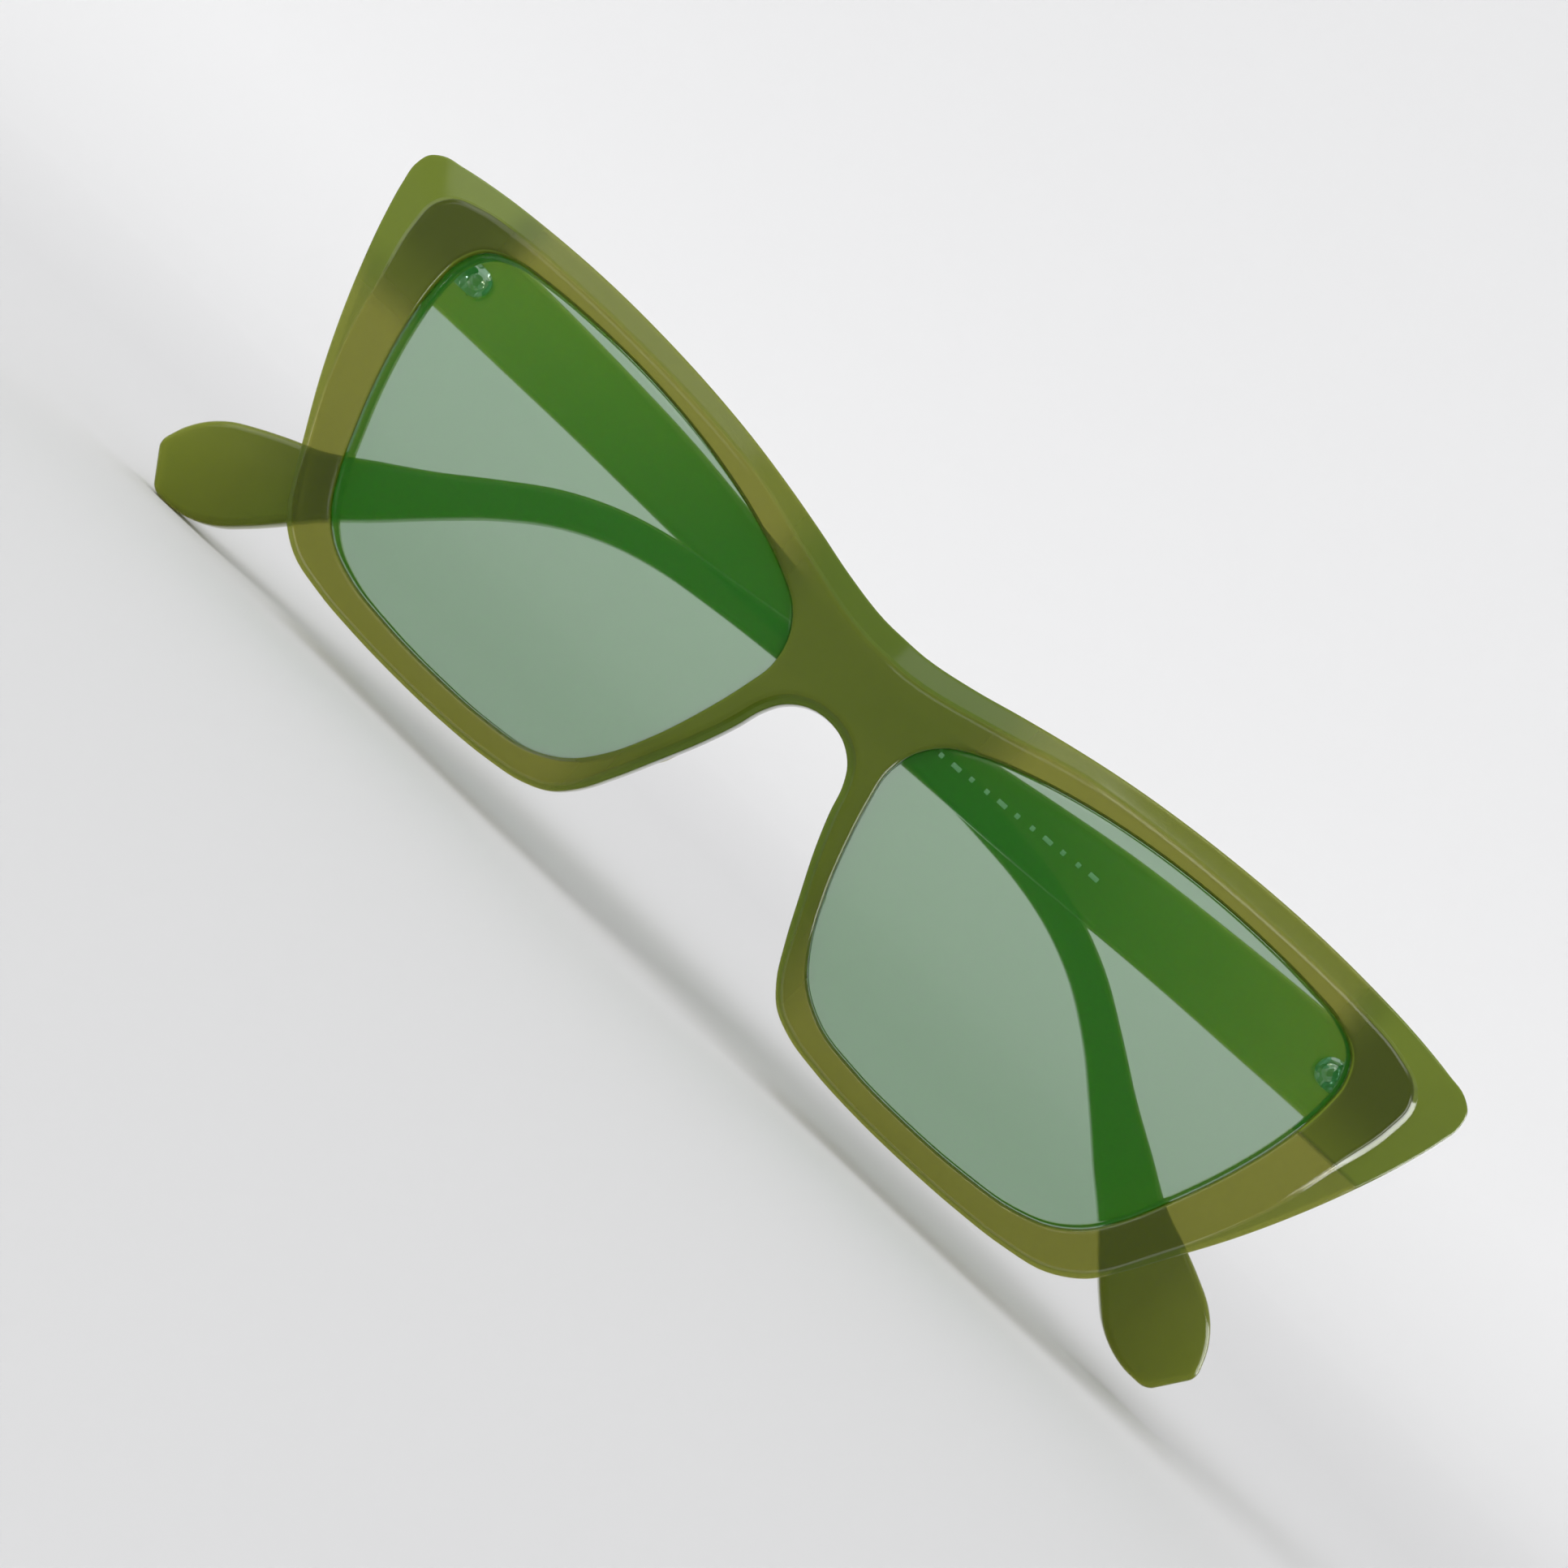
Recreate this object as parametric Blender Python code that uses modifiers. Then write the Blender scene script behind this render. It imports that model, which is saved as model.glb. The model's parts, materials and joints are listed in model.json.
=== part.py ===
"""Cat eye sunglasses: acetate front, two tinted lenses, two folding temples on three-barrel hinges.

Frame: metres, +Z up, the front looks towards -Y, the wearer's left is +X, origin at the bottom centre.
The rest state is folded: the left temple lies behind the front and the right temple lies over it.
Profiles below are written in millimetres around the lens centre height, then moved to the origin.
"""
import math

import bmesh
import bpy
from mathutils import Matrix, Vector

MM = 0.001

# ---- driving dimensions, millimetres -------------------------------------------------------
BASE_Z = 24.3          # lens centre height above the lowest point of the folded glasses
BASE_Y = -9.05         # moves the mid depth of the folded glasses to y = 0
WRAP = 0.09            # each half of the front runs back by this much per millimetre sideways
FACE_Y = -2.0          # front face of the raised inner band
BAND_Y = -1.4          # front face of the outer band, one small step lower
BACK_Y = 2.0           # rear face of the front
EDGE_R = 0.5           # rounding of the front's outer edges
LENS_T = 1.6           # lens thickness
LENS_BITE = 0.5        # how far a lens reaches past its opening, inside the groove
GROOVE_GAP = 0.3       # free space around the lens edge
HINGE_X = 61.6         # hinge axis, sideways
HINGE_BACK = 1.8       # hinge axis behind the rear face of the front
HINGE_Z = 13.5         # middle of the hinge barrel
TEMPLE_IN = 1.75       # inner face of a temple, measured from the hinge axis
TEMPLE_T = 3.5         # temple thickness
TEMPLE_EDGE = 0.9      # rounding of the temple's long edges
OVERFOLD_LEFT = 1.7    # degrees past square: the left temple folds first, towards the lenses
OVERFOLD_RIGHT = -2.4  # the right temple stops short of square, lying over the left one
DROOP = 0.6            # degrees by which the left temple hangs lower and the right one higher
BARREL_R = 1.5         # hinge barrel radius
BORE_R = 0.85          # hinge barrel bore
PIN_R = 0.65           # hinge screw shank
BARREL_H = 1.8         # height of one barrel
BARREL_GAP = 0.3       # space between barrels
LEAF_R = 1.6           # half height of the temple leaf and radius of its round end
LEAF_END = 3.4         # centre of the leaf's round end along the temple
PLATE_T = 0.7          # thickness of both hinge leaves
PLATE_IN = 60.0        # inner end of the front's hinge plate, sideways
PLATE_OUT = 66.4       # outer end of the front's hinge plate
PLATE_HALF = 3.0       # half height of the front's hinge plate
NECK_HALF = 1.1        # half width of the necks that carry the barrels
FIT = 0.2              # free space around every part let into the acetate
RIVET_R = 0.6          # rivet shank
HOLE_R = 0.8           # rivet hole
RIVET_X = 65.0         # the front's two rivets, sideways
RIVET_Z = 1.7          # the front's two rivets, above and below the hinge's middle
RIVET_DEPTH = 2.6      # rivet length inside the acetate
LENS_EDGE = 0.25       # rounding of the lens edge
PAD_FRONT = 2.15       # nose pad, front side
PAD_BACK = 5.4         # nose pad, rear side
PAD_EDGE = 0.5         # rounding of the nose pad

# outer outline of the +X half, from the top of the bridge round to the nose arch
OUTLINE = [(-2.6, 15.42), (2.6, 15.42), (8, 16.33), (13, 17.55), (18.3, 18.73), (24, 19.8),
           (30.3, 20.67), (37.8, 21.35), (46.5, 21.7), (54, 21.55), (60, 21.15), (65, 20.5),
           (67.4, 20.05), (68.7, 19.1), (69.1, 17.5), (68.7, 15.2), (67.9, 12.3), (65.5, 5.6),
           (63.05, 0), (60.7, -4.7), (57.6, -10.1), (55.3, -14.0), (53.4, -16.7), (50.2, -18.85),
           (45.5, -19.9), (40, -20.4), (34, -20.6), (27, -20.5), (21.5, -20.05), (17.5, -19.3),
           (14.9, -18.1), (13.1, -16.2), (11.3, -13.1), (9.3, -9.0), (7.3, -4.7), (6.0, -1.3),
           (5.2, 1.3), (4.2, 3.0), (2.2, 4.45), (-2.2, 4.45), (-4.2, 3.0)]

# raised inner band of the +X half
PLATEAU = [(-2.6, 12.95), (2.6, 12.95), (12, 14.9), (21, 17.3), (30, 18.5), (39, 19.1),
           (48, 19.3), (55, 19.1), (60, 18.5), (62.9, 17.4), (64.1, 15.6), (64.1, 13.0),
           (63.0, 7.7), (61.3, 0.6), (59.0, -5.2), (56.3, -10.4), (52.7, -16.1), (49.8, -18.1),
           (45.3, -19.2), (40, -19.7), (34, -19.9), (27, -19.8), (21.7, -19.35), (17.9, -18.6),
           (15.5, -17.6), (13.7, -15.8), (12.0, -12.8), (10.0, -8.7), (8.0, -4.3), (6.7, -0.9),
           (5.8, 1.9), (4.6, 3.8), (2.2, 5.25), (-2.2, 5.25), (-4.6, 3.8)]

# lens opening of the +X half
OPENING = [(58.4, 10.4), (58.2, 13.2), (56.9, 15.6), (54.3, 16.9), (50, 17.45), (44.2, 17.65),
           (37, 17.45), (30, 16.75), (24, 15.7), (17.6, 14.0), (12.6, 12.1), (9.9, 10.5),
           (8.1, 8.1), (7.45, 5.0), (8.0, 2.0), (9.2, -2.3), (11.2, -7.7), (13.2, -11.6),
           (15.7, -14.6), (19.4, -16.6), (24, -17.35), (31, -17.65), (38, -17.4), (44, -16.6),
           (47.5, -15.3), (50.2, -13.1), (52.1, -10.2), (54.1, -5.8), (56.3, 0), (57.7, 5.2)]

# temple centre line: distance from the hinge axis, height, half height of the temple there
TEMPLE = [(-1.0, 13.3, 4.65), (4, 13.3, 4.65), (10.5, 13.15, 4.6), (20.5, 12.8, 4.4),
          (31, 12.2, 4.15), (41, 11.35, 3.6), (51, 10.5, 2.9), (61.5, 9.6, 2.35), (71.5, 8.8, 1.98),
          (79.5, 8.0, 1.82), (85.7, 7.2, 1.8), (91.3, 5.8, 1.83), (96.8, 3.4, 1.88),
          (102.4, -0.35, 2.0), (107.5, -4.4, 2.4), (112, -7.9, 3.0), (116.6, -11.4, 3.55)]
PADDLE_ANGLE = -35.0   # direction of the ear end
PADDLE = [(3.9, 4.4), (7.1, 5.0), (9.4, 5.25), (11.8, 5.0), (14.2, 4.2), (16.9, 2.25)]

# nose pad behind the nasal side of the +X rim
PAD_OUTLINE = [(6.2, 2.2), (7.3, 2.9), (8.0, 1.6), (8.7, -1.8), (10.3, -6.0), (11.5, -8.8),
               (11.2, -10.1), (10.0, -9.6), (8.4, -6.6), (6.9, -2.9), (6.1, 0.2)]


# ---- scene and small helpers ---------------------------------------------------------------
def clear_scene():
    for item in list(bpy.data.objects):
        bpy.data.objects.remove(item, do_unlink=True)


def collection(name):
    found = bpy.data.collections.get(name)
    if found is None:
        found = bpy.data.collections.new(name)
        bpy.context.scene.collection.children.link(found)
    return found


def material(name, colour, roughness, metallic=0.0, alpha=1.0, transmission=0.0):
    mat = bpy.data.materials.new(name)
    mat.use_nodes = True
    shader = mat.node_tree.nodes["Principled BSDF"]
    shader.inputs["Base Color"].default_value = (*colour, 1.0)
    shader.inputs["Roughness"].default_value = roughness
    shader.inputs["Metallic"].default_value = metallic
    shader.inputs["Alpha"].default_value = alpha
    shader.inputs["Transmission Weight"].default_value = transmission
    mat.diffuse_color = (*colour, alpha)
    return mat


def add_object(name, mesh, group, mat=None):
    obj = bpy.data.objects.new(name, mesh)
    group.objects.link(obj)
    if mat is not None:
        mesh.materials.clear()
        mesh.materials.append(mat)
    return obj


def baked(obj):
    """The object's evaluated mesh, in its own coordinates, as a new mesh."""
    bpy.context.view_layer.update()
    graph = bpy.context.evaluated_depsgraph_get()
    return bpy.data.meshes.new_from_object(obj.evaluated_get(graph))


def outward(mesh):
    bm = bmesh.new()
    bm.from_mesh(mesh)
    bmesh.ops.remove_doubles(bm, verts=bm.verts, dist=1e-7)
    bmesh.ops.recalc_face_normals(bm, faces=bm.faces)
    bm.to_mesh(mesh)
    bm.free()


def smooth_path(points, parts, closed):
    """Points on a smooth curve through the given ones, with tangents weighted by chord length."""
    pts = [Vector(p) for p in points]
    count = len(pts)
    spans = count if closed else count - 1
    gap = [max((pts[(i + 1) % count] - pts[i]).length, 1e-9) for i in range(spans)]

    def tangent(i):
        if closed:
            before, after = gap[i - 1], gap[i % spans]
            a, b, c = pts[i - 1], pts[i], pts[(i + 1) % count]
        elif i == 0:
            return (pts[1] - pts[0]) / gap[0]
        elif i == count - 1:
            return (pts[i] - pts[i - 1]) / gap[i - 1]
        else:
            before, after = gap[i - 1], gap[i]
            a, b, c = pts[i - 1], pts[i], pts[i + 1]
        return ((b - a) / before * after + (c - b) / after * before) / (before + after)

    out = []
    for i in range(spans):
        a, b = pts[i], pts[(i + 1) % count]
        ta, tb = tangent(i) * gap[i], tangent((i + 1) % count) * gap[i]
        for k in range(parts):
            t = k / parts
            out.append(a * (2 * t ** 3 - 3 * t ** 2 + 1) + ta * (t ** 3 - 2 * t ** 2 + t)
                       + b * (3 * t ** 2 - 2 * t ** 3) + tb * (t ** 3 - t ** 2))
    if not closed:
        out.append(pts[-1])
    return out


def area(loop):
    return 0.5 * sum(loop[i - 1].x * loop[i].y - loop[i].x * loop[i - 1].y for i in range(len(loop)))


def grown(loop, distance):
    """The loop moved outwards by the distance."""
    side = 1.0 if area(loop) > 0 else -1.0
    out = []
    for i, p in enumerate(loop):
        along = (loop[(i + 1) % len(loop)] - loop[i - 1]).normalized()
        out.append(p + side * distance * Vector((along.y, -along.x)))
    return out


def slab(name, loop, y_front, y_back, group, rounding=0.0):
    """A flat outline in X and Z, given thickness between two depths, as a closed mesh object."""
    curve = bpy.data.curves.new(name, "CURVE")
    curve.dimensions = "2D"
    curve.fill_mode = "BOTH"
    spline = curve.splines.new("POLY")
    spline.points.add(len(loop) - 1)
    for point, p in zip(spline.points, loop):
        point.co = (p.x * MM, p.y * MM, 0.0, 1.0)
    spline.use_cyclic_u = True
    half = abs(y_back - y_front) / 2 * MM
    curve.extrude = half - rounding * MM
    if rounding:
        curve.bevel_depth = rounding * MM
        curve.bevel_resolution = 1
        curve.offset = -rounding * MM
    temp = bpy.data.objects.new(name + "_curve", curve)
    group.objects.link(temp)
    mesh = baked(temp)
    bpy.data.objects.remove(temp, do_unlink=True)
    mesh.transform(Matrix.Rotation(math.pi / 2, 4, "X"))
    mesh.transform(Matrix.Translation((0, (y_front + y_back) / 2 * MM, 0)))
    outward(mesh)
    return add_object(name, mesh, group)


def swept_back(obj):
    """Leans the mesh back with the distance from the middle of the front."""
    lean = Matrix.Identity(4)
    lean[1][0] = WRAP
    obj.data.transform(lean)
    return obj


def box(name, lo, hi, group):
    bm = bmesh.new()
    bmesh.ops.create_cube(bm, size=1.0)
    size = [(b - a) * MM for a, b in zip(lo, hi)]
    mid = [(a + b) / 2 * MM for a, b in zip(lo, hi)]
    bmesh.ops.scale(bm, vec=size, verts=bm.verts)
    bmesh.ops.translate(bm, vec=mid, verts=bm.verts)
    mesh = bpy.data.meshes.new(name)
    bm.to_mesh(mesh)
    bm.free()
    return add_object(name, mesh, group)


def cylinder(name, radius, start, end, group, sides=24, radius_end=None):
    """A round bar between two points, millimetres."""
    a, b = Vector(start) * MM, Vector(end) * MM
    bm = bmesh.new()
    bmesh.ops.create_cone(bm, cap_ends=True, segments=sides, radius1=radius * MM,
                          radius2=(radius if radius_end is None else radius_end) * MM,
                          depth=(b - a).length)
    turn = (b - a).to_track_quat("Z", "Y").to_matrix().to_4x4()
    bmesh.ops.transform(bm, matrix=Matrix.Translation((a + b) / 2) @ turn, verts=bm.verts)
    mesh = bpy.data.meshes.new(name)
    bm.to_mesh(mesh)
    bm.free()
    return add_object(name, mesh, group)


def combine(obj, tool, operation):
    """Boolean with the tool, kept as the object's new mesh."""
    step = obj.modifiers.new(operation.lower(), "BOOLEAN")
    step.operation = operation
    step.solver = "EXACT"
    step.object = tool
    mesh = baked(obj)
    obj.modifiers.clear()
    obj.data = mesh
    tool.hide_render = True
    tool.display_type = "WIRE"
    return obj


def move_mesh(obj, x=0.0, y=0.0, z=0.0):
    obj.data.transform(Matrix.Translation((x * MM, y * MM, z * MM)))
    return obj


def mirrored_mesh(mesh, name):
    copy = mesh.copy()
    copy.name = name
    copy.transform(Matrix.Scale(-1.0, 4, (1, 0, 0)))
    outward(copy)
    return copy


def shade(obj, angle=32.0):
    obj.data.shade_smooth()
    obj.data.set_sharp_from_angle(angle=math.radians(angle))


# ---- build ---------------------------------------------------------------------------------
clear_scene()
PARTS = collection("cat_eye_sunglasses")
TOOLS = collection("cutters")

OLIVE = material("olive_acetate_front", (0.16, 0.19, 0.025), 0.18)
OLIVE_TEMPLE = material("olive_acetate_temple", (0.14, 0.17, 0.022), 0.2)
TINT = material("green_grey_lens", (0.42, 0.62, 0.47), 0.03, alpha=0.35)
STEEL = material("hinge_steel", (0.62, 0.63, 0.62), 0.28, metallic=1.0)
PAD = material("pad_acetate", (0.17, 0.2, 0.03), 0.22)

AXIS_Y = BACK_Y + WRAP * HINGE_X + HINGE_BACK

outer_loop = smooth_path(OUTLINE, 2, False)
plateau_loop = smooth_path(PLATEAU, 2, False)
opening_loop = smooth_path(OPENING, 2, True)


def front_half():
    """The +X half of the front, still reaching a little past the middle."""
    half = slab("front_frame", outer_loop, BAND_Y, BACK_Y, PARTS, rounding=EDGE_R)
    # pocket and rivet holes for the hinge plate
    pocket = box("cut_hinge_pocket",
                 (PLATE_IN - FIT, BACK_Y - PLATE_T - FIT, HINGE_Z - PLATE_HALF - FIT),
                 (PLATE_OUT + FIT, BACK_Y + 2.0, HINGE_Z + PLATE_HALF + FIT), TOOLS)
    combine(half, pocket, "DIFFERENCE")
    for label, height in (("upper", HINGE_Z + RIVET_Z), ("lower", HINGE_Z - RIVET_Z)):
        hole = cylinder("cut_rivet_hole_" + label, HOLE_R, (RIVET_X, BACK_Y - RIVET_DEPTH - 0.3, height),
                        (RIVET_X, BACK_Y + 1.0, height), TOOLS, sides=16)
        combine(half, hole, "DIFFERENCE")
    combine(half, slab("join_plateau", plateau_loop, FACE_Y, 0.0, TOOLS), "UNION")
    combine(half, slab("cut_opening", opening_loop, -6.0, 6.0, TOOLS), "DIFFERENCE")
    groove_half = LENS_T / 2 + GROOVE_GAP
    groove = slab("cut_groove", grown(opening_loop, LENS_BITE + GROOVE_GAP),
                  -groove_half, groove_half, TOOLS)
    combine(half, groove, "DIFFERENCE")
    return swept_back(half)


front = front_half()
halved = bmesh.new()
halved.from_mesh(front.data)
bmesh.ops.bisect_plane(halved, geom=halved.verts[:] + halved.edges[:] + halved.faces[:], dist=1e-7,
                       plane_co=(0, 0, 0), plane_no=(1, 0, 0), clear_inner=True)
halved.to_mesh(front.data)
halved.free()
mirror = front.modifiers.new("other half", "MIRROR")
mirror.use_axis = (True, False, False)
mirror.merge_threshold = 0.000002
front.data = baked(front)
front.modifiers.clear()
outward(front.data)
move_mesh(front, y=BASE_Y, z=BASE_Z)
front.data.materials.clear()
front.data.materials.append(OLIVE)
shade(front)

# lenses
lens = slab("lens_left", grown(opening_loop, LENS_BITE), -LENS_T / 2, LENS_T / 2, PARTS,
            rounding=LENS_EDGE)
swept_back(lens)
move_mesh(lens, y=BASE_Y, z=BASE_Z)
lens.data.materials.clear()
lens.data.materials.append(TINT)
shade(lens)
add_object("lens_right", mirrored_mesh(lens.data, "lens_right"), PARTS)

# nose pads behind the nasal sides of the rims
pad = slab("nose_pad_left", smooth_path(PAD_OUTLINE, 2, True), PAD_FRONT, PAD_BACK, PARTS,
           rounding=PAD_EDGE)
swept_back(pad)
move_mesh(pad, y=BASE_Y, z=BASE_Z)
pad.data.materials.clear()
pad.data.materials.append(PAD)
shade(pad)
add_object("nose_pad_right", mirrored_mesh(pad.data, "nose_pad_right"), PARTS)


# ---- hinge, built around its own axis at x = 0, y = 0, height HINGE_Z at z = 0 ---------------
def front_plate():
    """Flush plate in the rear of the front, a neck and the two outer barrels."""
    plate = box("front_hinge_plate_left", (PLATE_IN - HINGE_X, -HINGE_BACK - PLATE_T, -PLATE_HALF),
                (PLATE_OUT - HINGE_X, -HINGE_BACK, PLATE_HALF), PARTS)
    swept_back(plate)
    across = RIVET_X - HINGE_X
    for label, height in (("upper", RIVET_Z), ("lower", -RIVET_Z)):
        hole = cylinder("cut_plate_hole_" + label, HOLE_R, (across, -6.0, height),
                        (across, 2.0, height), TOOLS, sides=16)
        combine(plate, hole, "DIFFERENCE")
    reach = BARREL_H / 2 + BARREL_GAP
    for label, lo, hi in (("upper", reach, reach + BARREL_H), ("lower", -reach - BARREL_H, -reach)):
        neck = box("join_neck_" + label, (-NECK_HALF, -HINGE_BACK - PLATE_T / 2, lo),
                   (NECK_HALF, 0.0, hi), TOOLS)
        combine(plate, neck, "UNION")
        barrel = cylinder("join_barrel_" + label, BARREL_R, (0, 0, lo), (0, 0, hi), TOOLS)
        combine(plate, barrel, "UNION")
    bore = cylinder("cut_front_bore", BORE_R, (0, 0, -8), (0, 0, 8), TOOLS)
    return combine(plate, bore, "DIFFERENCE")


def round_end(start, end, radius, depth_lo, depth_hi, name, group):
    """A bar along the temple with one round end, between two depths measured from the axis."""
    loop = [Vector((start, -radius)), Vector((start, radius))]
    for k in range(13):
        a = math.radians(90 - 15 * k)
        loop.append(Vector((end + radius * math.cos(a), radius * math.sin(a))))
    bar = slab(name, loop, -depth_hi, -depth_lo, group)
    bar.data.transform(Matrix.Rotation(math.pi / 2, 4, "Z"))
    return bar


def temple_leaf():
    """Middle barrel, its neck, and a leaf with a round end let into the temple's inner face."""
    inner, deep = TEMPLE_IN, TEMPLE_IN + PLATE_T
    leaf = round_end(-0.6, LEAF_END, LEAF_R, inner, deep, "temple_hinge_leaf_left", PARTS)
    half = BARREL_H / 2
    neck = box("join_leaf_neck", (0.0, -NECK_HALF, -half), (inner + PLATE_T / 2, NECK_HALF, half),
               TOOLS)
    combine(leaf, neck, "UNION")
    barrel = cylinder("join_leaf_barrel", BARREL_R, (0, 0, -half), (0, 0, half), TOOLS)
    combine(leaf, barrel, "UNION")
    bore = cylinder("cut_leaf_bore", BORE_R, (0, 0, -8), (0, 0, 8), TOOLS)
    combine(leaf, bore, "DIFFERENCE")
    hole = cylinder("cut_leaf_hole", HOLE_R, (inner - 1, LEAF_END, 0), (deep + 1, LEAF_END, 0),
                    TOOLS, sides=16)
    return combine(leaf, hole, "DIFFERENCE")


def hinge_screw():
    """Shank through the three barrels with a slotted head on top."""
    top = 1.5 * BARREL_H + BARREL_GAP
    screw = cylinder("hinge_screw_left", PIN_R, (0, 0, -top - 0.2), (0, 0, top + 0.5), PARTS, sides=20)
    head = cylinder("join_screw_head", 1.25, (0, 0, top + 0.15), (0, 0, top + 0.8), TOOLS)
    combine(screw, head, "UNION")
    slot = box("cut_screw_slot", (-2.0, -0.2, top + 0.5), (2.0, 0.2, top + 2.0), TOOLS)
    return combine(screw, slot, "DIFFERENCE")


def rivet(name, start, end, head=0.0):
    """A plain pin; a head radius adds a low head at its start."""
    pin = cylinder(name, RIVET_R, start, end, PARTS, sides=16)
    if head:
        away = (Vector(start) - Vector(end)).normalized()
        top = cylinder("join_" + name, head, Vector(start) - away * 0.05,
                       Vector(start) + away * 0.4, TOOLS, sides=20, radius_end=head * 0.6)
        combine(pin, top, "UNION")
    return pin


def place(obj, mat, side, turn=0.0):
    """Puts a hinge piece on its axis; side -1 gives the mirrored copy for the wearer's right."""
    obj.data.materials.clear()
    obj.data.materials.append(mat)
    shade(obj)
    obj.location = (side * HINGE_X * MM, (AXIS_Y + BASE_Y) * MM, (HINGE_Z + BASE_Z) * MM)
    obj.rotation_euler = (0, 0, side * math.radians(turn))


TURN = {1: 90.0 + OVERFOLD_LEFT, -1: 90.0 + OVERFOLD_RIGHT}


def both_sides(obj, stem, mat, moving):
    place(obj, mat, 1, TURN[1] if moving else 0.0)
    other = add_object(stem.replace("left", "right"), mirrored_mesh(obj.data, "right_copy"), PARTS)
    place(other, mat, -1, TURN[-1] if moving else 0.0)


both_sides(front_plate(), "front_hinge_plate_left", STEEL, False)
both_sides(temple_leaf(), "temple_hinge_leaf_left", STEEL, True)
both_sides(hinge_screw(), "hinge_screw_left", STEEL, False)
RIVET_ACROSS = RIVET_X - HINGE_X
PLATE_BACK = WRAP * RIVET_ACROSS - HINGE_BACK
for where, height in (("upper", RIVET_Z), ("lower", -RIVET_Z)):
    stem = "front_rivet_left_" + where
    pin = rivet(stem, (RIVET_ACROSS, PLATE_BACK - 0.02, height),
                (RIVET_ACROSS, PLATE_BACK - RIVET_DEPTH, height))
    both_sides(pin, stem, STEEL, False)
stem = "temple_rivet_left"
pin = rivet(stem, (TEMPLE_IN - 0.1, LEAF_END, 0), (TEMPLE_IN + RIVET_DEPTH, LEAF_END, 0), head=1.0)
both_sides(pin, stem, STEEL, True)


# ---- temples: a loft of rounded sections along the centre line -------------------------------
def temple_stations(droop):
    """Centre, direction and half height of each section, relative to the hinge axis."""
    line = [Vector((s, z - HINGE_Z, h)) for s, z, h in TEMPLE]
    path = smooth_path(line, 2, False)
    last = path[-1]
    ahead = Vector((math.cos(math.radians(PADDLE_ANGLE)), math.sin(math.radians(PADDLE_ANGLE)), 0))
    for reach, half in PADDLE:
        path.append(Vector((last.x, last.y, 0)) + ahead * reach + Vector((0, 0, half)))
    tilt = math.radians(droop)
    out = []
    for i, p in enumerate(path):
        a, b = path[max(i - 1, 0)], path[min(i + 1, len(path) - 1)]
        if i >= len(path) - len(PADDLE):
            way = ahead.copy()
        else:
            way = Vector((b.x - a.x, b.y - a.y, 0)).normalized()
        if i == 0:
            way = Vector((1, 0, 0))
        turn = Matrix.Rotation(tilt, 3, "Z")
        mid = turn @ Vector((p.x, p.y, 0)) if i else Vector((p.x, p.y + tilt * p.x, 0))
        out.append((mid, turn @ way if i else way, p.z))
    return out


def section(half_height, half_thickness, radius, steps):
    """Rounded rectangle, as pairs of thickness and height offsets."""
    pts = []
    for cx, cz, start in ((1, 1, 0), (-1, 1, 90), (-1, -1, 180), (1, -1, 270)):
        for k in range(steps + 1):
            a = math.radians(start + 90 * k / steps)
            pts.append((cx * (half_thickness - radius) + radius * math.cos(a),
                        cz * (half_height - radius) + radius * math.sin(a)))
    return pts


def temple(name, side):
    bm = bmesh.new()
    rings = []
    for mid, way, half in temple_stations(-DROOP if side > 0 else DROOP):
        up = Vector((-way.y, way.x, 0))
        ring = []
        for t, h in section(half, TEMPLE_T / 2, min(TEMPLE_EDGE, half * 0.6), 2):
            at = mid + up * h
            ring.append(bm.verts.new((side * (TEMPLE_IN + TEMPLE_T / 2 + t) * MM, at.x * MM, at.y * MM)))
        rings.append(ring)
    for a, b in zip(rings, rings[1:]):
        for i in range(len(a)):
            j = (i + 1) % len(a)
            bm.faces.new((a[i], a[j], b[j], b[i]))
    bm.faces.new(rings[0])
    bm.faces.new(rings[-1])
    bmesh.ops.recalc_face_normals(bm, faces=bm.faces)
    mesh = bpy.data.meshes.new(name)
    bm.to_mesh(mesh)
    bm.free()
    obj = add_object(name, mesh, PARTS)
    tag = "left" if side > 0 else "right"
    inner = TEMPLE_IN * side
    pocket = round_end(-3.0, LEAF_END, LEAF_R + FIT, TEMPLE_IN - 2, TEMPLE_IN + PLATE_T + FIT,
                       "cut_pocket_" + tag, TOOLS)
    if side < 0:
        pocket.data = mirrored_mesh(pocket.data, "cut_pocket_" + tag)
    combine(obj, pocket, "DIFFERENCE")
    hole = cylinder("cut_temple_hole_" + tag, HOLE_R, (inner, LEAF_END, 0),
                    ((TEMPLE_IN + RIVET_DEPTH + 0.3) * side, LEAF_END, 0), TOOLS, sides=16)
    combine(obj, hole, "DIFFERENCE")
    outward(obj.data)
    place(obj, OLIVE_TEMPLE, side, TURN[side])


temple("temple_left", 1)
temple("temple_right", -1)

for tool in TOOLS.objects:
    tool.hide_render = True
    tool.display_type = "WIRE"
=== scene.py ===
"""The looks of the cat eye sunglasses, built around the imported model.

Shapes are written in millimetres from the design origin: the middle of the bridge's thickness, at
the height of the lens centres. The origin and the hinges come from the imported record's joints.
"""
import json
import math

import bmesh
import bpy
from mathutils import Matrix, Vector
from mathutils.geometry import delaunay_2d_cdt

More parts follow.
